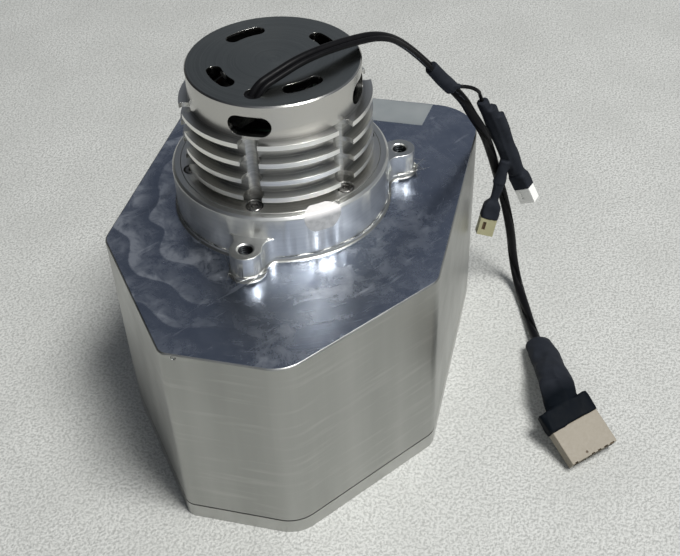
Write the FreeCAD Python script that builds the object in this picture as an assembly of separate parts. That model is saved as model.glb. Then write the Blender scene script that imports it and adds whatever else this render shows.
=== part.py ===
import FreeCAD, Part
import os
from math import sin, cos, tan, acos, atan2, sqrt, hypot, pi, radians, degrees

V = FreeCAD.Vector
os.makedirs("parts", exist_ok=True)

# Driving sizes in mm. Z is the motor axis and z = 0 the underside of the base plate. The narrow
# nose of the casing points to -Y, and the outlet port lies on its +X side.

# Casing: plan corner by corner with the corner radii, then heights and walls
PLAN = [(-57.5, -39.5, 8.0), (-17.0, -91.0, 5.0), (26.0, -91.0, 14.0),
        (66.5, -38.0, 8.0), (66.5, 72.7, 19.5), (-57.5, 72.7, 19.5)]
BASE_T = 6.5
SEAL_T = 0.5
CASE_H = 80.0
WALL = 5.0
ROOF_T = 8.0
ROOF_EDGE = 0.5
POST_R = 5.5
POST_H = 23.0
NICK_X = -12.0

# Base screws: countersunk M4, on a line inside the wall
BASE_SCREW_R = 2.0
BASE_SCREW_L = 20.0
BASE_HEAD_R = 4.2
BASE_HEAD_H = 2.1
BASE_SCREW_IN = 8.0

# Motor ring with its three ears on the roof
RING_H = 19.0
RING_LIP = 3.2
RING_EDGE = 0.9
PLINTH_H = 2.0
FOOT_FILLET = 1.5
EAR_OUT = 6.5
EAR_R = 5.75
EAR_H = 10.3
EAR_HOLE = 2.5
EAR_HOLE_L = 15.0
EAR_CSK = 0.6
EAR_ANGLES = (-90.0, 30.0, 150.0)
WEB_FILLET = 5.0

# Motor housing: barrel with fins, and the flange piece that it stands on
BODY_R = 30.4
BODY_WALL = 3.4
HOUSING_H = 26.2
FINS = 4
FIN_OUT = 4.2
FIN_T = 1.9
FIN_PITCH = 7.18
FLANGE_T = 6.0
FLANGE_RIM = 3.8
FLANGE_FLOOR = 3.0
PILOT_IN = 4.2
PILOT_L = 1.0
SCREW_OUT = 2.8
SCREW_R = 1.5
SCREW_L = 12.0
HEAD_R = 2.75
HEAD_H = 3.0
KEY_R = 1.45
CHANNEL_R = 3.6
SCREW_ANGLES = (-90.0, -30.0, 30.0, 90.0, 150.0, 210.0)

# Cap over the winding
CAP_H = 13.0
CAP_OUT = 0.6
CAP_WALL = 3.0
CAP_EDGE = 0.5
SPIGOT_H = 2.0
SPIGOT_WALL = 2.85
SLOT_IN = 9.9
SLOT_W = 5.4
SLOT_HALF = 13.5
SLOT_ANGLES = (45.0, 135.0, 225.0, 315.0)
WINDOW_W = 15.3
WINDOW_H = 7.7
WINDOW_ANGLES = (-90.0, 0.0, 90.0, 180.0)
CABLE_IN = 7.8
CABLE_HOLE_R = 3.25

# Rotor: shaft, 608 bearings and magnet
SHAFT_R = 4.0
NOSE_R = 3.0
MAGNET_SEAT_R = 5.5
BEAR_R = 11.0
BEAR_W = 7.0
BALL_R = 1.98
BALL_PITCH = 7.5
BALLS = 7
INNER_RACE_R = 6.1
OUTER_RACE_R = 8.9
CAGE_R = 8.1
CAGE_T = 1.2
CAGE_H = 5.6
MAGNET_SHARE = 12.4 / 30.4
MAGNET_OVER = 2.0
RETAINER_R = 16.0
RETAINER_T = 2.3
RETAIN_PITCH = 13.4
RETAIN_ANGLES = (90.0, 210.0, 330.0)
RETAIN_SCREW_R = 1.0
RETAIN_SCREW_L = 6.5
RETAIN_HEAD_R = 1.9
RETAIN_HEAD_H = 1.1
RETAIN_KEY_R = 0.75

# Stator, sensor board and upper bearing bracket
STACK_L = 16.0
AIR_GAP = 0.8
SHOE_T = 2.0
SHOE_W = 10.4
TEETH = 6
TOOTH_W = 5.2
YOKE_T = 4.0
COIL_W = 10.8
COIL_OVER = 2.3
BOARD_T = 1.0
BOARD_W = 5.8
BRACKET_T = 2.5
BRACKET_RIM = 3.4
BRACKET_LIP = 1.0
ARM_W = 6.0
HUB_WALL = 2.5
WASHER_T = 0.6

# Blower wheel and nozzle
WHEEL_R = 33.0
WHEEL_GAP = 1.0
DISC_T = 2.2
HUB_R = 5.5
HUB_L = 15.0
HUB_COLLAR = 1.5
EYE_R = 13.0
BLADES = 9
BLADE_T = 1.4
BLADE_H_EYE = 12.6
BLADE_H_RIM = 9.7
NOZZLE_GAP = 0.7
NUT_R = 5.6
NUT_H = 3.7
NUT_WASHER_T = 0.8

# Scroll: a square of arc centres, first arc, wall, floor and outlet arm
SCROLL_A = 4.4
SCROLL_R = 38.0
SCROLL_H = 22.0
SCROLL_WALL = 3.0
SCROLL_FLOOR_T = 3.0
ARM_END = 10.5
ARM_CORNER = 3.0
LUG_R = 4.0
LUG_H = 6.0
LUG_OUT = 3.8
LUG_HOLE = 1.7
LUG_ANGLES = (60.0, 120.0, 215.0, 250.0, 310.0)

# Ports, duct tubes with their collars, and foam
INLET = (0.0, 0.0)
INLET_PORT_R = 13.0
INLET_TUBE_R = 15.0
OUTLET = (45.5, -29.0)
OUTLET_PORT_R = 9.0
OUTLET_TUBE_R = 11.0
TUBE_WALL = 2.5
TUBE_SEAT = 4.0
COLLAR_T = 3.0
COLLAR_H = 6.0
TUBE_SEAL_H = 1.6
TUBE_SEAL_T = 2.6
GROOVE_W = 2.6
GROOVE_D = 1.6
GROOVE_OUT = 3.0
FOAM_TOP = 1.4
FOAM_IN = 15.0
FOAM_GAP = 0.8

# Harness
LEAD_D = 3.0
SENSOR_D = 2.0
CABLE_D = 4.0
BRANCH_D = 1.5
RUN = (0.6050, 0.7962)
SLEEVE_R = 2.9
STUB_R = 1.15

# Fits: close between turned pieces, free between the others
FIT = 0.05
FREE = 0.3

CASE_Z = BASE_T + SEAL_T
CASE_TOP = CASE_Z + CASE_H
ROOF_Z = CASE_TOP - ROOF_T
PLINTH_Z = CASE_TOP + PLINTH_H
RING_TOP = CASE_TOP + RING_H
EAR_TOP = CASE_TOP + EAR_H
FLANGE_Z = RING_TOP - FLANGE_T
HOUSING_TOP = RING_TOP + HOUSING_H
CAP_TOP = HOUSING_TOP + CAP_H
CAP_ROOF = CAP_TOP - CAP_WALL

SCREW_PITCH = BODY_R + SCREW_OUT
FLANGE_R = SCREW_PITCH + FLANGE_RIM
PILOT_R = SCREW_PITCH - PILOT_IN
RING_R = FLANGE_R + RING_LIP
EAR_PITCH = RING_R + EAR_OUT
BORE_R = BODY_R - BODY_WALL
MAGNET_R = BODY_R * MAGNET_SHARE
CAP_R = BODY_R + CAP_OUT
CABLE_HOLE = (0.0, CABLE_IN - CAP_R)
SLOT_PITCH = CAP_R - SLOT_IN
SPIGOT_R = BODY_R - 1.95

PILOT_Z = CASE_TOP - PILOT_L
PILOT_FLOOR = PILOT_Z - 2.0
LOW_BEAR = PILOT_Z + 3.5
BRACKET_Z = HOUSING_TOP - SPIGOT_H - BRACKET_T
UP_BEAR = BRACKET_Z + 1.0
STACK_MID = RING_TOP + STACK_L / 2

DISC_TOP = ROOF_Z - WHEEL_GAP
HUB_Z = DISC_TOP - HUB_L
HUB_TOP = DISC_TOP + HUB_COLLAR
SCROLL_Z = ROOF_Z - SCROLL_H
SCROLL_FLOOR = SCROLL_Z + SCROLL_FLOOR_T


def cyl(r, z0, z1, x=0.0, y=0.0):
    return Part.makeCylinder(r, z1 - z0, V(x, y, z0))


def tube(ro, ri, z0, z1, x=0.0, y=0.0):
    return cyl(ro, z0, z1, x, y).cut(cyl(ri, z0 - 1, z1 + 1, x, y))


def box(x0, x1, y0, y1, z0, z1):
    return Part.makeBox(x1 - x0, y1 - y0, z1 - z0, V(x0, y0, z0))


def turned(pts):
    """Solid of revolution about Z from (r, z) corners."""
    wire = Part.makePolygon([V(r, 0, z) for r, z in pts] + [V(pts[0][0], 0, pts[0][1])])
    return Part.Face(wire).revolve(V(0, 0, 0), V(0, 0, 1), 360)


def group(solids):
    return Part.Compound(solids)


def join(parts):
    return parts[0].multiFuse(parts[1:]).removeSplitter()


def on(pitch, angle):
    return pitch * cos(radians(angle)), pitch * sin(radians(angle))


def spun(shape, angle):
    """The shape turned about the motor axis."""
    shape.rotate(V(0, 0, 0), V(0, 0, 1), angle)
    return shape


def unit(v):
    return v * (1.0 / v.Length)


def rod(a, b, r):
    return Part.makeCylinder(r, (b - a).Length, a, b - a)


def hexagon(x, y, z, r, height):
    corners = [V(x + r * cos(pi * k / 3), y + r * sin(pi * k / 3), z) for k in range(7)]
    return Part.Face(Part.makePolygon(corners)).extrude(V(0, 0, height))


def inset(plan, d):
    """The plan moved inwards by d, corner radii reduced by the same."""
    n = len(plan)
    lines = []
    for i in range(n):
        (x0, y0, _), (x1, y1, _) = plan[i], plan[(i + 1) % n]
        k = hypot(x1 - x0, y1 - y0)
        nx, ny = -(y1 - y0) / k, (x1 - x0) / k
        lines.append((x0 + nx * d, y0 + ny * d, (x1 - x0) / k, (y1 - y0) / k))
    out = []
    for i in range(n):
        ax, ay, adx, ady = lines[i - 1]
        bx, by, bdx, bdy = lines[i]
        t = ((bx - ax) * bdy - (by - ay) * bdx) / (adx * bdy - ady * bdx)
        out.append((ax + adx * t, ay + ady * t, max(plan[i][2] - d, 0.6)))
    return out


def prism(plan, z0, z1):
    """Upright block on a plan of (x, y, corner radius)."""
    n = len(plan)
    edges = []
    last = first = None
    for i in range(n):
        x, y, r = plan[i]
        px, py, _ = plan[i - 1]
        qx, qy, _ = plan[(i + 1) % n]
        a = unit(V(px - x, py - y, 0))
        b = unit(V(qx - x, qy - y, 0))
        half = acos(max(-1.0, min(1.0, a.dot(b)))) / 2
        k = r / tan(half)
        c = V(x, y, z0)
        s, e = c + a * k, c + b * k
        mid = c + unit(a + b) * (r / sin(half) - r)
        if last is None:
            first = s
        else:
            edges.append(Part.makeLine(last, s))
        edges.append(Part.Arc(s, mid, e).toShape())
        last = e
    edges.append(Part.makeLine(last, first))
    return Part.Face(Part.Wire(edges)).extrude(V(0, 0, z1 - z0))


def top_chamfer(shape, size):
    z = shape.BoundBox.ZMax
    return shape.makeChamfer(size, [e for e in shape.Edges if abs(e.BoundBox.ZMin - z) < 0.01])


def cap_screw(x, y, z, r_head, h_head, r_shank, length, key):
    """Socket head screw, z is the seat under the head."""
    head = top_chamfer(cyl(r_head, z, z + h_head, x, y), r_head / 11)
    return head.fuse(cyl(r_shank, z - length, z, x, y)).cut(hexagon(x, y, z + h_head / 2, key, h_head))


def hanging(screw, x, y, z):
    """The screw upside down, its seat at z."""
    return screw.mirror(V(0, 0, 0), V(0, 0, 1)).translated(V(x, y, z))


def save(name, shape):
    shape.exportStep("parts/" + name + ".step")
    print(name, "solids", len(shape.Solids), "volume %.1f" % shape.Volume)


# Base plate with the two ports, seats for the duct tubes and eight countersunk screws, four of
# them near the wide corners and the nose, the others along the sides
rim = inset(PLAN, BASE_SCREW_IN)
left_x = PLAN[0][0] + BASE_SCREW_IN
right_x = PLAN[3][0] - BASE_SCREW_IN
base_pts = [rim[0][:2], (rim[1][0] + 0.8, rim[1][1] + 1.0), (rim[2][0] - 3.0, rim[2][1] + 1.5),
            (right_x, -9.0), (rim[4][0] - 4.0, rim[4][1] - 4.0), (rim[5][0] + 4.0, rim[5][1] - 4.0),
            (left_x, 15.0), (right_x, 28.0)]
cuts = [cyl(INLET_PORT_R, -1, BASE_T + 1, *INLET),
        cyl(INLET_TUBE_R + FIT, TUBE_SEAT, BASE_T + 1, *INLET),
        cyl(OUTLET_PORT_R, -1, BASE_T + 1, *OUTLET),
        cyl(OUTLET_TUBE_R + FIT, TUBE_SEAT, BASE_T + 1, *OUTLET)]
for (x, y), r in ((INLET, INLET_PORT_R + GROOVE_OUT), (OUTLET, OUTLET_PORT_R + GROOVE_OUT - 0.5)):
    cuts.append(tube(r + GROOVE_W, r, -1, GROOVE_D, x, y))
for x, y in base_pts:
    cuts.append(cyl(BASE_SCREW_R + 0.2, -1, BASE_T + 1, x, y))
    cuts.append(Part.makeCone(BASE_HEAD_R, BASE_SCREW_R + 0.2, BASE_HEAD_H - 0.1, V(x, y, 0.0)))
save("base_plate", prism(PLAN, 0.0, BASE_T).cut(group(cuts)))

# Face seals round the two ports, in grooves of the underside
for name, (x, y), r in (("inlet_port_seal", INLET, INLET_PORT_R + GROOVE_OUT),
                        ("outlet_port_seal", OUTLET, OUTLET_PORT_R + GROOVE_OUT - 0.5)):
    save(name, tube(r + GROOVE_W - FREE, r + FREE, 0.1, GROOVE_D, x, y))

# Flat gasket between base plate and casing, the thin dark seam round the foot
gasket = prism(inset(PLAN, 0.3), BASE_T, CASE_Z).cut(prism(inset(PLAN, WALL), 0, CASE_Z + 1))
gasket = gasket.fuse([cyl(POST_R - FREE, BASE_T, CASE_Z, x, y) for x, y in base_pts])
gasket = gasket.cut(group([cyl(BASE_SCREW_R + FREE, 0, CASE_Z + 1, x, y) for x, y in base_pts]))
save("base_gasket", gasket.removeSplitter())

screws = []
for x, y in base_pts:
    head = Part.makeCone(BASE_HEAD_R - 0.1, BASE_SCREW_R, BASE_HEAD_H, V(x, y, 0.1))
    screw = head.fuse(cyl(BASE_SCREW_R, BASE_HEAD_H - 0.1, BASE_SCREW_L, x, y))
    screws.append(screw.cut(box(x - 2.5, x + 2.5, y - 0.45, y + 0.45, 0.0, 0.9)))
save("base_screws", group(screws))


def ring_and_ears(z0, ring_z, ear_z):
    """Ring and ears between z0 and their tops; arcs of WEB_FILLET lead from the ring to each ear."""
    parts = [cyl(RING_R, z0, ring_z)]
    p, q = RING_R + WEB_FILLET, EAR_R + WEB_FILLET
    along = (p * p - q * q + EAR_PITCH * EAR_PITCH) / (2 * EAR_PITCH)
    side = sqrt(p * p - along * along)
    ring_pt = (along * RING_R / p, side * RING_R / p)
    ear_pt = (EAR_PITCH + (along - EAR_PITCH) * EAR_R / q, side * EAR_R / q)
    flat = [ring_pt, ear_pt, (ear_pt[0], -ear_pt[1]), (ring_pt[0], -ring_pt[1]), ring_pt]
    web = Part.Face(Part.makePolygon([V(x, y, z0) for x, y in flat])).extrude(V(0, 0, ear_z - z0))
    for sign in (1, -1):
        web = web.cut(cyl(WEB_FILLET, z0 - 1, ear_z + 1, along, sign * side))
    for a in EAR_ANGLES:
        parts += [spun(web.copy(), a), cyl(EAR_R, z0, ear_z, *on(EAR_PITCH, a))]
    return parts


# Casing: hollow body, closed by its roof, with posts for the base screws. A low plinth of the
# ring and ears is one with the roof and runs out into it in a fillet.
block = top_chamfer(prism(PLAN, CASE_Z, CASE_TOP), ROOF_EDGE)
casing = block.fuse(ring_and_ears(CASE_TOP - 1, PLINTH_Z, PLINTH_Z)).removeSplitter()
foot = []
for e in casing.Edges:
    level = abs(e.BoundBox.ZMin - CASE_TOP) < 0.01 and abs(e.BoundBox.ZMax - CASE_TOP) < 0.01
    if level and hypot(e.CenterOfMass.x, e.CenterOfMass.y) < EAR_PITCH + EAR_R:
        foot.append(e)
casing = casing.makeFillet(FOOT_FILLET, foot)
posts = group([cyl(POST_R, CASE_Z, CASE_Z + POST_H, x, y) for x, y in base_pts])
posts = posts.common(prism(inset(PLAN, 1.0), CASE_Z, CASE_Z + POST_H + 1))
casing = casing.cut(prism(inset(PLAN, WALL), CASE_Z - 1, ROOF_Z)).fuse(posts.Solids).removeSplitter()

# Lugs of the scroll, each beside the arc of the spiral that it stands on
h = SCROLL_A / 2
CENTRES = [(-h, -h), (-h, h), (h, h), (h, -h)]
LUGS = []
for a in LUG_ANGLES:
    k = int((-a % 360) // 90)
    x, y = on(SCROLL_R + SCROLL_A * k + SCROLL_WALL + LUG_OUT, a)
    LUGS.append((CENTRES[k][0] + x, CENTRES[k][1] + y))

ear_cuts = []
for a in EAR_ANGLES:
    x, y = on(EAR_PITCH, a)
    ear_cuts.append(cyl(EAR_HOLE, EAR_TOP - EAR_HOLE_L, EAR_TOP + 1, x, y))
    ear_cuts.append(Part.makeCone(EAR_HOLE, EAR_HOLE + EAR_CSK, EAR_CSK, V(x, y, EAR_TOP - EAR_CSK)))
cuts = [cyl(SHAFT_R * 2, ROOF_Z - 1, CASE_TOP), cyl(PILOT_R + FIT, PILOT_FLOOR, PLINTH_Z + 1)] + ear_cuts
for x, y in base_pts:
    cuts.append(cyl(BASE_SCREW_R, CASE_Z - 1, BASE_SCREW_L + 4.0, x, y))
for x, y in LUGS:
    cuts.append(cyl(SCREW_R, ROOF_Z - 1, ROOF_Z + 5.5, x, y))
nick_z = CASE_TOP - 1.4
cuts.append(rod(V(NICK_X, PLAN[1][1] - 1, nick_z), V(NICK_X, PLAN[1][1] + 0.5, nick_z), 0.9))
save("casing", casing.cut(group(cuts)))

# Motor ring with the three threaded ears: recess for the flange, bore for its pilot
ring = cyl(RING_R, PLINTH_Z, RING_TOP)
ring = top_chamfer(ring, RING_EDGE).fuse(ring_and_ears(PLINTH_Z, PLINTH_Z + 1, EAR_TOP)).removeSplitter()
cuts = [cyl(PILOT_R + FIT, PLINTH_Z - 1, RING_TOP), cyl(FLANGE_R + 2 * FIT, FLANGE_Z, RING_TOP + 1)]
cuts += ear_cuts
for a in SCREW_ANGLES:
    cuts.append(cyl(SCREW_R, FLANGE_Z - 10.0, FLANGE_Z + 1, *on(SCREW_PITCH, a)))
save("motor_ring", ring.cut(group(cuts)))


def spiral(grow, z0, z1):
    """Block inside four arcs struck clockwise from the corners of the square, grown outwards."""
    edges = []
    for k, (cx, cy) in enumerate(CENTRES):
        r = SCROLL_R + SCROLL_A * k + grow
        p = [V(cx, cy, z0) + V(*on(r, -90.0 * k - t), 0) for t in (0, 45, 90)]
        edges.append(Part.Arc(*p).toShape())
    first, last = V(SCROLL_R + grow - h, -h, z0), V(SCROLL_R + 3 * SCROLL_A + grow + h, -h, z0)
    edges.append(Part.makeLine(last, first))
    return Part.Face(Part.Wire(edges)).extrude(V(0, 0, z1 - z0))


def outlet_arm(grow, z0, z1):
    """Straight arm at the end of the spiral, down to the outlet."""
    x0, x1 = SCROLL_R - h - grow, SCROLL_R + 3 * SCROLL_A + h + grow
    y0 = OUTLET[1] - ARM_END - grow
    r = ARM_CORNER + grow
    return prism([(x0, y0, r), (x1, y0, r), (x1, -h, 0.1), (x0, -h, 0.1)], z0, z1)


# Scroll: floor with a collar over each duct tube, spiral wall with five screw lugs, and the
# walls of the outlet arm
floor = spiral(SCROLL_WALL, SCROLL_Z, SCROLL_FLOOR).fuse(outlet_arm(SCROLL_WALL, SCROLL_Z, SCROLL_FLOOR))
collar_z = SCROLL_Z - COLLAR_H
floor = floor.fuse([cyl(INLET_TUBE_R + COLLAR_T, collar_z, SCROLL_Z + 1, *INLET),
                    cyl(OUTLET_TUBE_R + COLLAR_T, collar_z, SCROLL_Z + 1, *OUTLET)]).removeSplitter()
cuts = [cyl(INLET_TUBE_R + 1.0 + FIT, SCROLL_Z, SCROLL_FLOOR + 1, *INLET),
        cyl(INLET_TUBE_R + FIT, collar_z - 1, SCROLL_Z + 1, *INLET),
        cyl(OUTLET_TUBE_R + FIT, collar_z - 1, SCROLL_Z, *OUTLET),
        cyl(OUTLET_PORT_R, collar_z - 1, SCROLL_FLOOR + 1, *OUTLET)]
save("scroll_floor", floor.cut(group(cuts)))

shell = spiral(SCROLL_WALL, SCROLL_FLOOR, ROOF_Z).fuse(outlet_arm(SCROLL_WALL, SCROLL_FLOOR, ROOF_Z))
hollow = spiral(0.0, SCROLL_FLOOR - 1, ROOF_Z + 1).fuse(outlet_arm(0.0, SCROLL_FLOOR - 1, ROOF_Z + 1))
shell = shell.cut(hollow)
arm_x = SCROLL_R - h - SCROLL_WALL
arm_room = box(arm_x, PLAN[3][0], PLAN[2][1], -h, SCROLL_FLOOR - 1, ROOF_Z + 1)
save("scroll_outlet", shell.common(arm_room).removeSplitter())
lug_z = ROOF_Z - LUG_H
lugs = []
for x, y in LUGS:
    rib = box(-LUG_R - 2.0, 0.0, -2.5, 2.5, lug_z, ROOF_Z)
    rib = spun(rib, degrees(atan2(y, x))).translated(V(x, y, 0))
    lugs += [cyl(LUG_R, lug_z, ROOF_Z, x, y), rib.cut(spiral(0.5, lug_z - 1, ROOF_Z + 1))]
wall = shell.cut(arm_room).fuse(lugs).removeSplitter()
save("scroll_housing", wall.cut(group([cyl(LUG_HOLE, lug_z - 1, ROOF_Z + 1, x, y) for x, y in LUGS])))
lug_screw = cap_screw(0, 0, 0, HEAD_R, HEAD_H, SCREW_R, LUG_H + 5.0, KEY_R)
save("scroll_screws", group([hanging(lug_screw, x, y, lug_z) for x, y in LUGS]))

# Inlet nozzle in the scroll floor, its cone follows the blade edges
rim_z = DISC_TOP - DISC_T - BLADE_H_RIM
eye_z = DISC_TOP - DISC_T - BLADE_H_EYE - 0.8
save("inlet_nozzle", turned([(EYE_R, SCROLL_Z), (INLET_TUBE_R + 1.0, SCROLL_Z),
                             (INLET_TUBE_R + 1.0, SCROLL_FLOOR), (WHEEL_R, SCROLL_FLOOR),
                             (WHEEL_R, rim_z - NOZZLE_GAP),
                             (EYE_R + 1.5, eye_z - NOZZLE_GAP), (EYE_R, eye_z - NOZZLE_GAP - 1.2)]))

# Blower wheel: hub with its back disc, and nine backward-curved blades on it
disc = turned([(NOSE_R, HUB_Z), (HUB_R, HUB_Z), (HUB_R, HUB_Z + 3.0), (HUB_R + 4.5, DISC_TOP - DISC_T - 0.8),
               (WHEEL_R, DISC_TOP - DISC_T), (WHEEL_R, DISC_TOP), (HUB_R, DISC_TOP), (HUB_R, HUB_TOP),
               (NOSE_R, HUB_TOP)])
save("blower_wheel", disc)
limit = turned([(EYE_R - 1.0, eye_z - 0.8), (EYE_R + 1.5, eye_z), (WHEEL_R, rim_z), (WHEEL_R, DISC_TOP),
                (EYE_R - 1.0, DISC_TOP)]).cut(disc)
blades = []
for k in range(BLADES):
    a0 = 360.0 * k / BLADES
    line = ((EYE_R - 1.4, 0.0), (WHEEL_R * 2 / 3, 27.0), (WHEEL_R, 44.0))
    outer = [V(*on(r, a0 + t), SCROLL_FLOOR) for r, t in line]
    curve = Part.Arc(*outer).toShape().Curve
    near, far = [[curve.Center + unit(p - curve.Center) * (curve.Radius + side) for p in outer]
                 for side in (-BLADE_T / 2, BLADE_T / 2)]
    wire = Part.Wire([Part.Arc(*near).toShape(), Part.makeLine(near[2], far[2]),
                      Part.Arc(far[2], far[1], far[0]).toShape(), Part.makeLine(far[0], near[0])])
    blade = Part.Face(wire).extrude(V(0, 0, DISC_TOP - SCROLL_FLOOR))
    blades.append(blade.common(limit))
save("wheel_blades", group([s for b in blades for s in b.Solids]))
nut_z = HUB_Z - NUT_WASHER_T
nut = hexagon(0, 0, nut_z - NUT_H, NUT_R, NUT_H).fuse(cyl(NUT_R + 0.6, nut_z, HUB_Z))
save("wheel_nut", nut.cut(cyl(NOSE_R, HUB_Z - 20.0, HUB_Z + 1)))

# Shaft, stepped for wheel, bearings and magnet
tip_z = HUB_Z - 6.0
end_z = UP_BEAR + BEAR_W + 1.3
save("shaft", turned([(0, tip_z), (NOSE_R - 0.4, tip_z), (NOSE_R, tip_z + 0.4), (NOSE_R, HUB_TOP),
                      (SHAFT_R, HUB_TOP), (SHAFT_R, LOW_BEAR + BEAR_W), (MAGNET_SEAT_R, LOW_BEAR + BEAR_W),
                      (MAGNET_SEAT_R, UP_BEAR), (SHAFT_R, UP_BEAR), (SHAFT_R, end_z - 0.4),
                      (SHAFT_R - 0.4, end_z), (0, end_z)]))
magnet_half = STACK_L / 2 + MAGNET_OVER
save("rotor_magnet", tube(MAGNET_R, MAGNET_SEAT_R, STACK_MID - magnet_half, STACK_MID + magnet_half))
seal_z = ROOF_Z + 1.2
save("shaft_seal", turned([(SHAFT_R + FIT, seal_z + 0.8), (SHAFT_R + 1.2, seal_z), (SHAFT_R * 2, seal_z),
                           (SHAFT_R * 2, seal_z + 3.7), (SHAFT_R + 2.4, seal_z + 3.7),
                           (SHAFT_R + 2.4, seal_z + 2.4), (SHAFT_R + FIT, seal_z + 2.4)]))


def bearing(name, z0):
    zc = z0 + BEAR_W / 2
    groove = Part.makeTorus(BALL_PITCH, BALL_R + FIT, V(0, 0, zc))
    save(name + "_outer_race", tube(BEAR_R, OUTER_RACE_R, z0, z0 + BEAR_W).cut(groove))
    save(name + "_inner_race", tube(INNER_RACE_R, SHAFT_R, z0, z0 + BEAR_W).cut(groove))
    places = [on(BALL_PITCH, 360.0 * k / BALLS) for k in range(BALLS)]
    save(name + "_balls", group([Part.makeSphere(BALL_R, V(x, y, zc)) for x, y in places]))
    cage = tube(CAGE_R, CAGE_R - CAGE_T, zc - CAGE_H / 2, zc + CAGE_H / 2)
    pockets = [rod(V(x * 0.8, y * 0.8, zc), V(x * 1.2, y * 1.2, zc), BALL_R + 0.12) for x, y in places]
    save(name + "_cage", cage.cut(group(pockets)))


bearing("lower_bearing", LOW_BEAR)
bearing("upper_bearing", UP_BEAR)

# Motor flange: pilot in the ring, seat of the lower bearing and screw flange. The barrel with
# its fins stands on it, and a channel over each flange screw runs down through the fins.
shoulder_r = BORE_R - 1.5
flange = turned([(SHAFT_R * 2, LOW_BEAR + BEAR_W), (BEAR_R, LOW_BEAR + BEAR_W), (BEAR_R, LOW_BEAR),
                 (RETAINER_R + 0.2, LOW_BEAR), (RETAINER_R + 0.2, PILOT_Z), (PILOT_R, PILOT_Z),
                 (PILOT_R, FLANGE_Z), (FLANGE_R, FLANGE_Z), (FLANGE_R, RING_TOP), (shoulder_r, RING_TOP),
                 (shoulder_r, RING_TOP - FLANGE_FLOOR), (SHAFT_R * 2, RING_TOP - FLANGE_FLOOR)])
cuts = []
for a in SCREW_ANGLES:
    x, y = on(SCREW_PITCH, a)
    cuts += [cyl(SCREW_R + 0.2, FLANGE_Z - 1, RING_TOP, x, y),
             cyl(HEAD_R + 0.4, RING_TOP - HEAD_H, RING_TOP + 1, x, y)]
RETAIN = [on(RETAIN_PITCH, a) for a in RETAIN_ANGLES]
for x, y in RETAIN:
    cuts.append(cyl(RETAIN_SCREW_R, LOW_BEAR - 1, LOW_BEAR + 5.5, x, y))
save("motor_flange", flange.cut(group(cuts)))

outline = [(BORE_R, RING_TOP), (BODY_R, RING_TOP)]
for k in range(FINS - 1, -1, -1):
    top = HOUSING_TOP - FIN_PITCH * k
    tip_r = BODY_R + FIN_OUT
    outline += [(BODY_R, top - FIN_T), (tip_r, top - FIN_T), (tip_r, top), (BODY_R, top)]
outline[-1:] = [(SPIGOT_R + FIT, HOUSING_TOP), (SPIGOT_R + FIT, BRACKET_Z), (BORE_R, BRACKET_Z)]
barrel = turned(outline)
channel = [cyl(CHANNEL_R, RING_TOP - 1, HOUSING_TOP + 1, *on(SCREW_PITCH, a)) for a in SCREW_ANGLES]
save("motor_housing", barrel.cut(group(channel)))
flange_screw = cap_screw(0, 0, RING_TOP - HEAD_H, HEAD_R, HEAD_H, SCREW_R, SCREW_L, KEY_R)
save("flange_screws", group([flange_screw.translated(V(*on(SCREW_PITCH, a), 0)) for a in SCREW_ANGLES]))

retainer_z = LOW_BEAR - RETAINER_T
plate = tube(RETAINER_R, OUTER_RACE_R - FREE, retainer_z, LOW_BEAR)
save("bearing_retainer", plate.cut(group([cyl(RETAIN_SCREW_R + 0.2, retainer_z - 1, LOW_BEAR + 1, x, y)
                                          for x, y in RETAIN])))
plate_screw = cap_screw(0, 0, 0, RETAIN_HEAD_R, RETAIN_HEAD_H, RETAIN_SCREW_R, RETAIN_SCREW_L, RETAIN_KEY_R)
save("retainer_screws", group([hanging(plate_screw, x, y, retainer_z) for x, y in RETAIN]))

# Stator: laminated ring with six teeth, one coil round each tooth
stack = (STACK_MID - STACK_L / 2, STACK_MID + STACK_L / 2)
shoe_in = MAGNET_R + AIR_GAP
shoe_out = shoe_in + SHOE_T
yoke_in = BORE_R - YOKE_T
core = [tube(BORE_R, yoke_in, *stack)]
coils = []
for k in range(TEETH):
    a = 360.0 * (k + 0.5) / TEETH
    tooth = box(shoe_out - 0.2, yoke_in + 1.0, -TOOTH_W / 2, TOOTH_W / 2, *stack)
    shoe = tube(shoe_out, shoe_in, *stack).common(box(5.0, shoe_out + 1, -SHOE_W / 2, SHOE_W / 2, *stack))
    x0, x1 = shoe_out + 0.5, yoke_in - 0.6
    coil = box(x0, x1, -COIL_W / 2, COIL_W / 2, stack[0] - COIL_OVER, stack[1] + COIL_OVER)
    corners = [e for e in coil.Edges if e.BoundBox.XLength > (x1 - x0) / 2]
    coil = coil.makeFillet(1.2, corners).cut(box(x0 - 1, x1 + 1, -TOOTH_W / 2, TOOTH_W / 2, *stack))
    coil = coil.common(cyl(yoke_in - FREE, stack[0] - COIL_OVER, stack[1] + COIL_OVER))
    core += [spun(tooth, a), spun(shoe, a)]
    coils.append(spun(coil, a))
save("stator_core", join(core))
save("stator_coils", group(coils))

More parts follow.
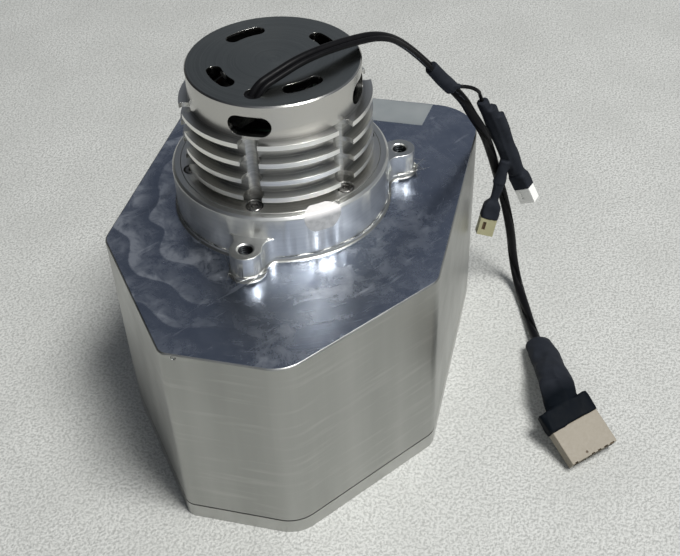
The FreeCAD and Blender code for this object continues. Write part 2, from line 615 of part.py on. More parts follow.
# Sensor board on the coils, upper bearing bracket of rim, arms and hub, and spring washer
board_z = stack[1] + COIL_OVER
save("sensor_board", tube(shoe_in + 1.0 + BOARD_W, shoe_in + 1.0, board_z, board_z + BOARD_T))
rim_in = SPIGOT_R - BRACKET_RIM
hub_out = BEAR_R + HUB_WALL
hub_top = UP_BEAR + BEAR_W + WASHER_T
save("bracket_rim", tube(SPIGOT_R, rim_in, BRACKET_Z, BRACKET_Z + BRACKET_T))
save("bearing_bracket", tube(hub_out, BEAR_R, BRACKET_Z, hub_top)
     .fuse(tube(hub_out, BEAR_R - 1.5, hub_top, hub_top + BRACKET_LIP)).removeSplitter())
arm = box(hub_out - 1, rim_in + 1, -ARM_W / 2, ARM_W / 2, BRACKET_Z, BRACKET_Z + BRACKET_T)
arm = arm.common(tube(rim_in, hub_out, BRACKET_Z - 1, BRACKET_Z + BRACKET_T + 1))
save("bracket_arms", group([spun(arm.copy(), a) for a in (0.0, 120.0, 240.0)]))
save("preload_washer", tube(BEAR_R - 0.2, BEAR_R - 1.4, UP_BEAR + BEAR_W, hub_top))

# Cap: flat top with four arc slots and a cable hole, four side windows
spigot_z = BRACKET_Z + BRACKET_T
shell = top_chamfer(cyl(CAP_R, HOUSING_TOP, CAP_TOP), CAP_EDGE).fuse(cyl(SPIGOT_R, spigot_z, HOUSING_TOP + 1))
cuts = [cyl(CAP_R - CAP_WALL, HOUSING_TOP, CAP_ROOF),
        cyl(SPIGOT_R - SPIGOT_WALL, spigot_z - 1, HOUSING_TOP + 1),
        cyl(CABLE_HOLE_R, CAP_ROOF - 1, CAP_TOP + 1, *CABLE_HOLE)]
for a in SLOT_ANGLES:
    arc = tube(SLOT_PITCH + SLOT_W / 2, SLOT_PITCH - SLOT_W / 2, CAP_ROOF - 1, CAP_TOP + 1)
    fan = [V(0, 0, CAP_ROOF - 2), V(*on(2 * CAP_R, a - SLOT_HALF), CAP_ROOF - 2),
           V(*on(2 * CAP_R, a + SLOT_HALF), CAP_ROOF - 2), V(0, 0, CAP_ROOF - 2)]
    cuts.append(arc.common(Part.Face(Part.makePolygon(fan)).extrude(V(0, 0, CAP_WALL + 5))))
    for s in (-1, 1):
        cuts.append(cyl(SLOT_W / 2, CAP_ROOF - 1, CAP_TOP + 1, *on(SLOT_PITCH, a + s * SLOT_HALF)))
window_z = (HOUSING_TOP + CAP_ROOF) / 2
k = (WINDOW_W - WINDOW_H) / 2
x0, x1 = CAP_R - 3 * CAP_WALL, CAP_R + 4.0
window = box(x0, x1, -k, k, window_z - WINDOW_H / 2, window_z + WINDOW_H / 2)
window = window.fuse([rod(V(x0, s * k, window_z), V(x1, s * k, window_z), WINDOW_H / 2) for s in (-1, 1)])
cuts += [spun(window.copy(), a) for a in WINDOW_ANGLES]
save("top_cap", shell.cut(group(cuts)))


def route(name, pts, dia):
    """Tube along straight runs joined by tangent arcs."""
    runs = [(pts[i + 1] - pts[i]).Length for i in range(len(pts) - 1)]
    edges = []
    radii = []
    last = pts[0]
    for i in range(1, len(pts) - 1):
        a, b = unit(pts[i - 1] - pts[i]), unit(pts[i + 1] - pts[i])
        half = acos(max(-1.0, min(1.0, a.dot(b)))) / 2
        k = 0.45 * min(runs[i - 1], runs[i])
        r = k * tan(half)
        radii.append(r)
        s, e = pts[i] + a * k, pts[i] + b * k
        edges.append(Part.LineSegment(last, s).toShape())
        edges.append(Part.Arc(s, pts[i] + unit(a + b) * (r / sin(half) - r), e).toShape())
        last = e
    edges.append(Part.LineSegment(last, pts[-1]).toShape())
    wire = Part.Wire(edges)
    ring = Part.Wire(Part.Circle(pts[0], unit(pts[1] - pts[0]), dia / 2).toShape())
    solid = wire.makePipeShell([ring], True, True)
    share = solid.Volume / (pi * dia * dia / 4 * wire.Length)
    print(name, "length %.1f, volume ratio %.4f, radii" % (wire.Length, share), [round(r, 1) for r in radii])
    save(name, solid)


# Two cables side by side, from the bush in the cap in an arch to the junction sleeve. The
# arch is given by its way along RUN and its height over the cap.
ARCH = [(-0.3, -1.9), (2.2, 1.8), (9.0, 5.4), (22.0, 7.0), (40.0, 4.2), (57.0, -1.0)]
SLEEVE_A = V(48.7, 40.8, 123.5)
SLEEVE_B = V(56.9, 45.7, 112.0)
LEAD_OFF = 1.15
SENSOR_OFF = -1.65
axis = unit(SLEEVE_B - SLEEVE_A)
left = unit(V(-axis.y, axis.x, 0))


def arch(off):
    way, side = V(*RUN, 0), V(-RUN[1], RUN[0], 0)
    start = [V(*CABLE_HOLE, CAP_TOP + z) + way * s + side * off for s, z in ARCH]
    end = SLEEVE_A + left * off
    return start + [end - axis * 13.0, end]


route("motor_cable_a", arch(LEAD_OFF), LEAD_D)
route("sensor_cable_a", arch(SENSOR_OFF), SENSOR_D)

# Closed bush in the cable hole with a slanting stub under each cable
bush = cyl(CABLE_HOLE_R - FIT, CAP_ROOF - 1.0, CAP_TOP - 0.7, *CABLE_HOLE)
bush = bush.fuse(cyl(CABLE_HOLE_R + 1.2, CAP_ROOF - 1.6, CAP_ROOF, *CABLE_HOLE))
stubs = []
for off, dia in ((LEAD_OFF, LEAD_D), (SENSOR_OFF, SENSOR_D)):
    p, q = arch(off)[:2]
    bush = bush.cut(rod(p, q, dia / 2 + 0.15))
    stubs.append(rod(p - unit(q - p) * 1.6, p, dia / 2))
save("cable_grommet", bush.fuse(stubs).removeSplitter())

# Junction sleeve with a small side outlet for the thin branch
BRANCH_DIR = unit(V(0.93, 0.34, -0.13))
stub_a = SLEEVE_B - axis * 3.0 - left * 1.4
stub_b = stub_a + BRANCH_DIR * 4.5
save("junction_sleeve", rod(SLEEVE_A, SLEEVE_B, SLEEVE_R).fuse(rod(stub_a, stub_b, STUB_R)).removeSplitter())

# Thick cable down the back corner to the floor and on to the wide plug
CABLE = [SLEEVE_B + left * 0.5, SLEEVE_B + left * 0.5 + axis * 8.0, V(64.0, 50.6, 98.7),
         V(69.4, 50.4, 91.0), V(72.0, 58.3, 77.0), V(75.3, 63.9, 61.0), V(79.9, 64.9, 44.5),
         V(83.4, 65.8, 28.0), V(85.2, 67.3, 12.5), V(89.2, 60.0, 3.0), V(93.7, 47.5, 2.1),
         V(97.6, 35.4, 2.2), V(100.2, 27.5, 3.1), V(102.0, 22.0, 4.6)]
route("motor_cable_b", CABLE, CABLE_D)

# Splice pack: three shrink tubes side by side, staggered, with a leg to the left plug
PACK_A = V(68.9, 56.5, 101.3)
PACK_B = V(82.3, 63.6, 64.0)
LEG_A = V(78.5, 60.4, 70.0)
LEG_B = V(76.9, 57.4, 61.5)
down = unit(PACK_B - PACK_A)
across = V(0.907, 0.209, 0.366)
across = unit(across - down * across.dot(down))
pack_top = PACK_A - across * 1.2
pack_end = PACK_B + across * 0.8
BRANCH = [stub_b, stub_b + BRANCH_DIR * 4.0, V(67.0, 49.6, 109.4), pack_top - down * 4.0, pack_top]
route("sensor_cable_b", BRANCH, BRANCH_D)
pack = join([rod(pack_top, pack_top + down * 34.0, 1.9), rod(PACK_A + across * 0.6 + down * 4.5, PACK_B, 2.3),
             rod(PACK_A + across * 2.4 + down * 9.0, PACK_B + across * 1.6, 2.2), rod(LEG_A, LEG_B, 2.0)])
save("splice_pack", pack.cut(rod(pack_end, pack_end + down * 6.0, 5.0)))


def plug_frame(origin, forward, right):
    """Origin, forward, right and normal of a plug."""
    f = unit(forward)
    r = unit(right - f * right.dot(f))
    return origin, f, r, r.cross(f)


def slab(frame, a0, a1, w, t, w0=None, t0=None):
    """Block along a plug frame from a0 to a1, tapering from w0 x t0 to w x t."""
    o, f, r, n = frame
    wires = []
    for a, ww, tt in ((a0, w0 or w, t0 or t), (a1, w, t)):
        c = o + f * a
        p = [c + r * (sx * ww / 2) + n * (sy * tt / 2) for sx, sy in ((-1, -1), (1, -1), (1, 1), (-1, 1))]
        wires.append(Part.makePolygon(p + [p[0]]))
    return Part.makeLoft(wires, True, True)


def soften(shape, r, forward):
    """Round the long edges that run forward."""
    edges = []
    for e in shape.Edges:
        d = e.Vertexes[-1].Point - e.Vertexes[0].Point
        if d.Length > 1.0 and abs(unit(d).dot(forward)) > 0.9:
            edges.append(e)
    return shape.makeFillet(r, edges) if edges else shape


def small_plug(frame, a0, length):
    """Two-way plug housing with its sockets and a catch slot."""
    o, f, r, n = frame
    plug = slab(frame, a0, a0 + length, 7.0, 4.8)
    for s in (-1.5, 1.5):
        c = o + f * (a0 + length - 4.0) + r * s
        plug = plug.cut(rod(c, c + f * 6.0, 0.95))
    catch = (o + f * (a0 + 1.6) - n * 2.4 - r * 1.4, f, r, n)
    return plug.cut(slab(catch, 0.0, 3.4, 0.9, 1.2))


# Two small two-way plugs below the pack, each with its shrink sleeve
LEFT = plug_frame(LEG_B, LEG_B - LEG_A, V(0.95, 0.28, 0.1))
neck = soften(slab(LEFT, 0.0, 9.0, 3.8, 3.6), 1.0, LEFT[1])
flare = slab(LEFT, 8.0, 11.0, 7.4, 5.2, 3.8, 3.6)
body = soften(slab(LEFT, 11.0, 16.5, 7.4, 5.2), 1.0, LEFT[1])
save("sensor_sleeve_left", join([neck, flare, body]))
save("sensor_plug_left", small_plug(LEFT, 16.5, 7.6))

RIGHT = plug_frame(pack_end, V(3.4, -0.4, -6.9), V(0.86, -0.25, 0.45))
TOP = plug_frame(pack_end, down, RIGHT[2])
sleeve = soften(slab(TOP, 0.0, 3.0, 6.6, 5.0, 6.0, 4.4), 0.8, down)
save("sensor_sleeve_right", join([sleeve, soften(slab(RIGHT, 2.6, 9.0, 7.6, 5.4), 1.0, RIGHT[1])]))
save("sensor_plug_right", small_plug(RIGHT, 9.0, 7.2))

# Wide plug at the end of the cable: pale housing with six sockets, black boot, shrink tube
PLUG_C = V(124.66, -30.0, 9.38)
PLUG_W = 21.0
PLUG_L = 14.5
PLUG_T = 5.5
BOOT_L = 8.0
BOOT_W = 22.2
BOOT_T = 6.6
SOCKET_PITCH = 3.2
MAIN = plug_frame(PLUG_C, V(0.642, -0.654, -0.400), V(0.742, 0.662, 0.108))
o, f, r, n = MAIN
up = n if n.z > 0 else n * -1.0
o = PLUG_C - up * (PLUG_T / 2)
MAIN = (o, f, r, n)
half = PLUG_L / 2
housing = slab(MAIN, -half, half, PLUG_W, PLUG_T)
for k in range(6):
    c = o + f * (half - 7.0) + r * ((k - 2.5) * SOCKET_PITCH)
    housing = housing.cut(slab((c, f, r, n), 0.0, 8.0, 2.3, 3.4))
c = o + f * (half - 4.4) + up * (PLUG_T / 2) + r * 0.9
save("plug_housing", housing.cut(rod(c - up * 1.2, c + up, 0.8)))
save("plug_boot", soften(slab(MAIN, -half - BOOT_L, -half, BOOT_W, BOOT_T), 1.6, f))


def oval(c, d, w, t):
    e = Part.Ellipse(V(0, 0, 0), w / 2, t / 2).toShape()
    wide = V(0.86, 0.51, 0.05)
    x = unit(wide - d * wide.dot(d))
    y = d.cross(x)
    m = FreeCAD.Matrix(x.x, y.x, d.x, c.x, x.y, y.y, d.y, c.y, x.z, y.z, d.z, c.z, 0, 0, 0, 1)
    return Part.Wire(e.transformGeometry(m).Edges)


tail = o - f * (half + BOOT_L)
mids = [tail, V(111.6, -9.4, 14.3), V(107.0, 7.5, 9.0), CABLE[-1]]
ways = [f * -1.0, unit(mids[2] - mids[0]), unit(mids[3] - mids[1]), unit(CABLE[-2] - CABLE[-1])]
sizes = [(13.0, 5.8), (12.6, 6.6), (11.6, 6.8), (9.6, 6.0)]
ovals = [oval(c, d, w, t) for c, d, (w, t) in zip(mids, ways, sizes)]
save("plug_shrink_tube", Part.makeLoft(ovals, True, True))

# Foam lining of the lower chamber, duct tubes and their seals under the collars
foam_z = BASE_T + 2.5
foam = prism(inset(PLAN, FOAM_IN), foam_z, collar_z - TUBE_SEAL_H - FOAM_TOP)
save("silencer_foam", foam.cut(group([cyl(INLET_TUBE_R + FOAM_GAP, 0, ROOF_Z, *INLET),
                                      cyl(OUTLET_TUBE_R + FOAM_GAP, 0, ROOF_Z, *OUTLET)])))
save("inlet_tube", tube(INLET_TUBE_R, INLET_TUBE_R - TUBE_WALL, TUBE_SEAT, SCROLL_Z, *INLET))
save("outlet_tube", tube(OUTLET_TUBE_R, OUTLET_TUBE_R - TUBE_WALL, TUBE_SEAT, SCROLL_Z, *OUTLET))
save("tube_seals", group([tube(r + TUBE_SEAL_T, r + FIT, collar_z - TUBE_SEAL_H, collar_z, *place)
                          for r, place in ((INLET_TUBE_R, INLET), (OUTLET_TUBE_R, OUTLET))]))
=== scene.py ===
import bpy
import bmesh
from math import sin, cos, pi, radians
from mathutils import Matrix, Vector, noise


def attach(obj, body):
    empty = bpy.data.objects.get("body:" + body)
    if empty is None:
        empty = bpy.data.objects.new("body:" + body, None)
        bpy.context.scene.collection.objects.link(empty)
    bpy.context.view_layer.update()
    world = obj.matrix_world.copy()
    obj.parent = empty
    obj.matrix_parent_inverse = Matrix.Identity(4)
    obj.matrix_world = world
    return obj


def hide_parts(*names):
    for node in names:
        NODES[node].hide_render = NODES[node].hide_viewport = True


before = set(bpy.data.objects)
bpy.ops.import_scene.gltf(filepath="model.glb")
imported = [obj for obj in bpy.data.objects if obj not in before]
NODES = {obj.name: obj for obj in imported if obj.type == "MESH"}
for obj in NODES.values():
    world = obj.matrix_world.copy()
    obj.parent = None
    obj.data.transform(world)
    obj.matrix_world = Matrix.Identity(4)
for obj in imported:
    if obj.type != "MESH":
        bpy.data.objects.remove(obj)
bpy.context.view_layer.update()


# Camera at the photograph's place: seen from the narrow nose of the casing, from above, and
# turned a little about its own line of sight. The lens is the one that fits the picture.
CAMERA_AT = Vector((0.10552, -0.31535, 0.33597))
HEADING = radians(105.018)
LOOK_DOWN = radians(41.497)
ROLL = radians(-2.338)
FOCAL_LENGTH, FILM_WIDTH = 57.18, 36.0
ahead = Vector((cos(HEADING) * cos(LOOK_DOWN), sin(HEADING) * cos(LOOK_DOWN), -sin(LOOK_DOWN)))
level = Vector((sin(HEADING), -cos(HEADING), 0))
below = ahead.cross(level)
right = level * cos(ROLL) - below * sin(ROLL)
down = level * sin(ROLL) + below * cos(ROLL)
lens = bpy.data.cameras.new("camera")
lens.lens = FOCAL_LENGTH
lens.sensor_width = FILM_WIDTH
lens.sensor_fit = "HORIZONTAL"
lens.clip_start = 0.01
camera = bpy.data.objects.new("camera", lens)
camera.matrix_world = Matrix.Translation(CAMERA_AT) @ Matrix((right, -down, -ahead)).transposed().to_4x4()
bpy.context.collection.objects.link(camera)
bpy.context.scene.camera = camera


# Floor: a sheet of pale packing foam, a plain stage with a fine dimpled skin.
# It is a wide flat disc a hair under the base plate.
FLOOR_RADIUS = 3.0
FLOOR_DROP = 0.0001
SHEET_TONES = (0.585, 0.59, 0.565, 1), (0.65, 0.655, 0.63, 1)
PIT_TONES = (0.43, 0.435, 0.415, 1), (0.50, 0.505, 0.485, 1)


def fill(tree, node, **sockets):
    """Set a node's sockets, each to a number, a colour or another node's output. Base_Color is
    the socket Base Color, and _0 is the first one."""
    for key, value in sockets.items():
        socket = node.inputs[int(key[1:])] if key[0] == "_" else node.inputs[key.replace("_", " ")]
        if isinstance(value, bpy.types.NodeSocket):
            tree.links.new(value, socket)
        else:
            socket.default_value = value


def new_node(tree, kind, settings=None, **sockets):
    """A new node in the tree, with its settings and its sockets."""
    made = tree.nodes.new(kind)
    for key, value in (settings or {}).items():
        setattr(made, key, value)
    fill(tree, made, **sockets)
    return made


def arithmetic(tree, operation, a, b=0.0, c=0.0):
    return new_node(tree, "ShaderNodeMath", {"operation": operation}, _0=a, _1=b, _2=c).outputs[0]


def weighed(tree, *parts):
    """The sum of some values, each given with its weight."""
    total = 0.0
    for value, weight in parts:
        total = arithmetic(tree, "MULTIPLY_ADD", value, weight, total)
    return total


def new_material(name):
    """A material with a Principled shader, and the tree, shader and Object coordinates to build on."""
    material = bpy.data.materials.new(name)
    material.use_nodes = True
    tree = material.node_tree
    place = tree.nodes.new("ShaderNodeTexCoord").outputs["Object"]
    return material, tree, tree.nodes["Principled BSDF"], place


def speckle(tree, vector, scale, detail=3.0, distortion=0.0, grit=0.5):
    """Cloudy noise between nought and one, as fine as scale says."""
    return new_node(tree, "ShaderNodeTexNoise", Vector=vector, Scale=scale, Detail=detail,
                    Distortion=distortion, Roughness=grit).outputs["Fac"]


def between(tree, value, low, high, to_low=0.0, to_high=1.0):
    """A value that runs from to_low to to_high while the given one runs from low to high."""
    return new_node(tree, "ShaderNodeMapRange", Value=value, From_Min=low, From_Max=high,
                    To_Min=to_low, To_Max=to_high).outputs["Result"]


def tinted(tree, mask, first, second):
    """A colour that goes from the first to the second with the mask."""
    return new_node(tree, "ShaderNodeMix", {"data_type": "RGBA"}, _0=mask, _6=first, _7=second).outputs[2]


def raised(tree, height, distance, strength):
    """The normal of a relief whose height is measured in distance (m)."""
    return new_node(tree, "ShaderNodeBump", Height=height, Distance=distance,
                    Strength=strength).outputs["Normal"]


foam_sheet, tree, shader, place = new_material("foam_sheet")
swell = speckle(tree, place, 26.0)
beads = speckle(tree, place, 300.0, 2.0)
grain = speckle(tree, place, 900.0, 1.0, 0.0, 0.6)
dimples = weighed(tree, (grain, 1.0), (beads, 0.8))
sheet_tone = tinted(tree, between(tree, swell, 0.35, 0.65), *SHEET_TONES)
pit_tone = tinted(tree, between(tree, beads, 0.3, 0.7), *PIT_TONES)
fill(tree, shader, Base_Color=tinted(tree, between(tree, grain, 0.40, 0.56), pit_tone, sheet_tone),
     Roughness=between(tree, grain, 0.3, 0.7, 0.45, 0.7), Normal=raised(tree, dimples, 0.0010, 0.55))
bm = bmesh.new()
bmesh.ops.create_circle(bm, cap_ends=True, radius=FLOOR_RADIUS, segments=64)
floor_mesh = bpy.data.meshes.new("floor")
bm.to_mesh(floor_mesh)
bm.free()
floor = bpy.data.objects.new("floor", floor_mesh)
floor.location.z = -FLOOR_DROP
floor.data.materials.append(foam_sheet)
bpy.context.collection.objects.link(floor)


# Light: a workshop whose ceiling is much darker than its pale walls, and dimmer on the left. A
# broad lamp stands high on the right, and a weaker one over the front.
ROOM_TONES = ((0.45, (0.48, 0.48, 0.47, 1)), (0.56, (0.40, 0.41, 0.41, 1)), (0.66, (0.20, 0.215, 0.24, 1)),
              (0.80, (0.140, 0.153, 0.178, 1)), (1.0, (0.130, 0.142, 0.160, 1)))


def axis_of(tree, vector, axis):
    return new_node(tree, "ShaderNodeSeparateXYZ", Vector=vector).outputs[axis]


def soft_light(name, at, aim, size, power, colour):
    """A lamp with a broad rectangular face, turned to its aim."""
    light = bpy.data.lights.new(name, "AREA")
    light.shape = "RECTANGLE"
    light.size, light.size_y = size
    light.energy = power
    light.color = colour
    lamp = bpy.data.objects.new(name, light)
    lamp.location = at
    lamp.rotation_euler = (Vector(aim) - Vector(at)).to_track_quat("-Z", "Y").to_euler()
    bpy.context.collection.objects.link(lamp)


bpy.context.scene.view_settings.view_transform = "Standard"
world = bpy.data.worlds.new("workshop")
bpy.context.scene.world = world
world.use_nodes = True
tree = world.node_tree
toward = tree.nodes.new("ShaderNodeTexCoord").outputs["Generated"]
ramp = new_node(tree, "ShaderNodeValToRGB", Fac=between(tree, axis_of(tree, toward, "Z"), -1.0, 1.0))
stops = ramp.color_ramp.elements
stops.remove(stops[1])
for number, (height, colour) in enumerate(ROOM_TONES):
    stop = stops.new(height) if number else stops[0]
    stop.position = height
    stop.color = colour
fill(tree, tree.nodes["Background"], Color=ramp.outputs["Color"],
     Strength=between(tree, axis_of(tree, toward, "X"), -0.85, -0.05, 0.12, 1.0))
soft_light("skylight", (0.95, -0.40, 2.30), (0, 0, 0.05), (0.8, 0.8), 64.0, (1.0, 0.995, 0.975))
soft_light("front", (0.50, -1.90, 1.80), (0, 0, 0.05), (1.8, 1.0), 3.0, (0.97, 0.98, 1.0))


# Casing: a hexagonal body milled from one block of aluminium. The walls are side-milled
# upright, the roof is pocket-milled in wavy passes, and the motor ring is turned.
BLOWER = "blower"
MM = 0.001
ROOF = 87.0 * MM
PASS = 13.5 * MM
EAR_DISTANCE, EAR_HOLE_R = 46.7 * MM, 2.5 * MM
EAR_ANGLES = (-90, 30, 150)
ROOF_TONES = (0.37, 0.42, 0.53, 1), (0.86, 0.90, 0.98, 1)
WALL_TONES = (0.355, 0.360, 0.343, 1), (0.425, 0.429, 0.411, 1)
STEP_TONE = (0.49, 0.493, 0.473, 1)
RING_TONES = (0.72, 0.725, 0.70, 1), (0.88, 0.88, 0.85, 1)
BORE_SHADE_TONE = (0.06, 0.065, 0.07, 1)


def cleaned(mesh):
    """Weld the loose faces of a CAD mesh and merge the flat ones."""
    bm = bmesh.new()
    bm.from_mesh(mesh)
    bmesh.ops.remove_doubles(bm, verts=bm.verts, dist=2e-6)
    bmesh.ops.dissolve_limit(bm, angle_limit=radians(0.4), verts=bm.verts, edges=bm.edges)
    bm.to_mesh(mesh)
    bm.free()


def applied(piece):
    """Turn the piece's modifiers into its plain mesh."""
    bpy.context.view_layer.update()
    result = bpy.data.meshes.new_from_object(piece.evaluated_get(bpy.context.evaluated_depsgraph_get()))
    piece.modifiers.clear()
    piece.data = result


def edged(node, edge, welded_to=None, clamp=True):
    """A piece on the lines of a CAD node, its faces merged and its edges rounded by edge (m).
    welded_to is a second node that the real part has in one with it."""
    sharp = radians(32)
    piece = bpy.data.objects.new(node + "_skin", NODES[node].data.copy())
    bpy.context.collection.objects.link(piece)
    cleaned(piece.data)
    if welded_to:
        other = bpy.data.objects.new("other", NODES[welded_to].data.copy())
        bpy.context.collection.objects.link(other)
        cleaned(other.data)
        weld = piece.modifiers.new("weld", "BOOLEAN")
        weld.operation = "UNION"
        weld.solver = "EXACT"
        weld.object = other
        applied(piece)
        bpy.data.objects.remove(other)
        cleaned(piece.data)
    piece.data.shade_smooth()
    piece.data.set_sharp_from_angle(angle=sharp)
    if edge:
        rim = piece.modifiers.new("edge", "BEVEL")
        rim.width = edge
        rim.segments = 2
        rim.limit_method = "ANGLE"
        rim.angle_limit = sharp
        rim.harden_normals = True
        rim.use_clamp_overlap = clamp
        applied(piece)
    return piece


def fitted(piece, material, body=BLOWER, stands_for=()):
    """Give the piece its material and body, and hide the CAD nodes it stands for."""
    piece.data.materials.clear()
    piece.data.materials.append(material)
    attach(piece, body)
    if stands_for:
        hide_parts(*stands_for)


def vector_math(tree, operation, a, b=(0, 0, 0), scale=1.0):
    return new_node(tree, "ShaderNodeVectorMath", {"operation": operation}, _0=a, _1=b, _3=scale).outputs


def stretched(tree, vector, x, y, z):
    """The same place with each axis multiplied, so that a grain runs along the small one."""
    return vector_math(tree, "MULTIPLY", vector, (x, y, z))["Vector"]


def product(tree, first, *others):
    for other in others:
        first = arithmetic(tree, "MULTIPLY", first, other)
    return first


def blended(tree, mask, first, second):
    """A number that goes from the first to the second with the mask."""
    return new_node(tree, "ShaderNodeMix", _0=mask, _2=first, _3=second).outputs[0]


def round_the_axis(tree):
    """The way round the motor axis, across which turned metal draws out its highlights."""
    return new_node(tree, "ShaderNodeTangent", {"direction_type": "RADIAL", "axis": "Z"}).outputs[0]


def shared_group(name, inputs, outputs):
    """A shader node group, and the sockets that it takes in and puts out."""
    group = bpy.data.node_groups.new(name, "ShaderNodeTree")
    for title, kind, value in inputs:
        socket = group.interface.new_socket(name=title, in_out="INPUT", socket_type=kind)
        if value is not None:
            socket.default_value = value
    for title, kind in outputs:
        group.interface.new_socket(name=title, in_out="OUTPUT", socket_type=kind)
    return group, group.nodes.new("NodeGroupInput").outputs, group.nodes.new("NodeGroupOutput").inputs


def use_group(tree, group, **sockets):
    return new_node(tree, "ShaderNodeGroup", {"node_tree": group}, **sockets).outputs


# Handling marks: faint cloudy films and short hair scratches, on every bare metal
handling, given, put_out = shared_group(
    "handling_marks", (("Place", "NodeSocketVector", None), ("Cloud Scale", "NodeSocketFloat", 60.0),
                       ("Scratch Scale", "NodeSocketFloat", 700.0)),
    (("Cloud", "NodeSocketFloat"), ("Scratch", "NodeSocketFloat")))
cloud = speckle(handling, given["Place"], given["Cloud Scale"], 5.0, 0.6)
turn = new_node(handling, "ShaderNodeMapping", Vector=given["Place"], Rotation=(0.3, 0.2, 0.6)).outputs[0]
hair = speckle(handling, stretched(handling, turn, 1.0, 0.05, 1.0), given["Scratch Scale"], 2.0)
handling.links.new(between(handling, cloud, 0.38, 0.68), put_out["Cloud"])
handling.links.new(between(handling, hair, 0.66, 0.74), put_out["Scratch"])

# Turned lines: rings on a flat face and hoops on a wall, both about the motor axis. With
# Around above nought they break up into arcs.
turned, given, put_out = shared_group(
    "turned_lines", (("Place", "NodeSocketVector", None), ("Lines", "NodeSocketFloat", 2500.0),
                     ("Around", "NodeSocketFloat", 0.6)),
    (("Height", "NodeSocketFloat"), ("Axis Distance", "NodeSocketFloat")))
flat_place = stretched(turned, given["Place"], 1, 1, 0)
way_out = vector_math(turned, "NORMALIZE", flat_place)["Vector"]
from_axis = vector_math(turned, "LENGTH", flat_place)["Value"]
run = arithmetic(turned, "ADD", from_axis, axis_of(turned, given["Place"], "Z"))
line_at = new_node(turned, "ShaderNodeCombineXYZ", Z=product(turned, run, given["Lines"])).outputs[0]
turning = vector_math(turned, "SCALE", way_out, scale=given["Around"])["Vector"]
ring_place = vector_math(turned, "ADD", turning, line_at)["Vector"]
turned.links.new(speckle(turned, ring_place, 1.0), put_out["Height"])
turned.links.new(from_axis, put_out["Axis Distance"])

milled, tree, shader, place = new_material("milled_aluminium")
marks = use_group(tree, handling, Place=place, Cloud_Scale=45.0, Scratch_Scale=420.0)
hoops = use_group(tree, turned, Place=place, Lines=1500.0, Around=0.4)
arcs = use_group(tree, turned, Place=place, Lines=700.0, Around=5.0)["Height"]
facing = axis_of(tree, tree.nodes.new("ShaderNodeNewGeometry").outputs["Normal"], "Z")
height = axis_of(tree, place, "Z")
flat_place = stretched(tree, place, 1, 1, 0)
way_out = vector_math(tree, "NORMALIZE", flat_place)["Vector"]
roof = product(tree, between(tree, facing, 0.90, 0.97),
               between(tree, height, ROOF + 0.3 * MM, ROOF + 0.6 * MM, 1.0, 0.0))

# the wavy ends of the milling passes: each has a crisp outer line and fades in from it
bulge = speckle(tree, vector_math(tree, "SCALE", way_out, scale=3.2)["Vector"], 1.0, 0.0)
drift = speckle(tree, place, 15.0, 1.0)
passes = arithmetic(tree, "DIVIDE", hoops["Axis Distance"], PASS)
phase = arithmetic(tree, "FRACT", weighed(tree, (passes, 1.0), (bulge, 1.5), (drift, 1.0)))
leftward = between(tree, axis_of(tree, place, "X"), 0.0, -35.0 * MM, 0.20, 1.5)
fading = product(tree, between(tree, phase, 0.10, 0.93), between(tree, phase, 0.93, 0.99, 1.0, 0.0), leftward)
smudge = between(tree, speckle(tree, place, 130.0, 9.0, 0.5, 0.72), 0.40, 0.64)
patches = between(tree, speckle(tree, place, 26.0, 5.0, 1.0), 0.46, 0.66)
haze = weighed(tree, (product(tree, fading, between(tree, smudge, 0.0, 1.0, 0.20, 0.90)), 1.0),
               (product(tree, patches, smudge), 0.55), (between(tree, arcs, 0.62, 0.74), 0.30),
               (marks["Scratch"], 0.35), (smudge, 0.16))

# the upright grain and the level steps of the walls, and the lathe lines of the ring above the roof
upright = speckle(tree, stretched(tree, place, 1.0, 1.0, 0.015), 900.0)
upright_wide = between(tree, speckle(tree, stretched(tree, place, 1.0, 1.0, 0.06), 55.0), 0.35, 0.65)
steps = speckle(tree, stretched(tree, place, 0.08, 0.08, 1.0), 500.0)
wall_tone = tinted(tree, upright_wide, *WALL_TONES)
wall_tone = tinted(tree, between(tree, steps, 0.55, 0.75, 0.0, 0.5), wall_tone, STEP_TONE)
lathe_cut = between(tree, height, ROOF + 0.6 * MM, ROOF + 1.0 * MM)
ring_tone = tinted(tree, hoops["Height"], *RING_TONES)
roof_tone = tinted(tree, haze, *ROOF_TONES)
tone = tinted(tree, roof, tinted(tree, lathe_cut, wall_tone, ring_tone), roof_tone)
# the walls of the three threaded ear holes are painted near black as shade inside them
for angle in EAR_ANGLES:
    ear_at = (EAR_DISTANCE * cos(radians(angle)), EAR_DISTANCE * sin(radians(angle)), 0)
    off_axis = vector_math(tree, "DISTANCE", flat_place, ear_at)["Value"]
    bore_shade = product(tree, between(tree, off_axis, EAR_HOLE_R - 0.14 * MM, EAR_HOLE_R - 0.08 * MM),
                   between(tree, off_axis, EAR_HOLE_R + 0.05 * MM, EAR_HOLE_R + 0.20 * MM, 1.0, 0.0))
    tone = tinted(tree, bore_shade, tone, BORE_SHADE_TONE)
wall_rough = between(tree, marks["Cloud"], 0.0, 1.0, 0.32, 0.42)
ring_rough = between(tree, marks["Cloud"], 0.0, 1.0, 0.29, 0.33)
roof_rough = between(tree, haze, 0.0, 1.0, 0.24, 0.40)
rough = blended(tree, roof, blended(tree, lathe_cut, wall_rough, ring_rough), roof_rough)
wall_relief = weighed(tree, (upright, 1.0), (steps, 0.5))
ring_relief = product(tree, hoops["Height"], 1.2)
roof_relief = weighed(tree, (smudge, 0.10), (hoops["Height"], 0.5))
relief = blended(tree, roof, blended(tree, lathe_cut, wall_relief, ring_relief), roof_relief)
relief = weighed(tree, (relief, 1.0), (marks["Scratch"], -0.5))
fill(tree, shader, Base_Color=tone, Metallic=1.0, Roughness=rough, Anisotropic=0.2,
     Anisotropic_Rotation=0.25, Tangent=round_the_axis(tree), Normal=raised(tree, relief, 0.06 * MM, 0.5))
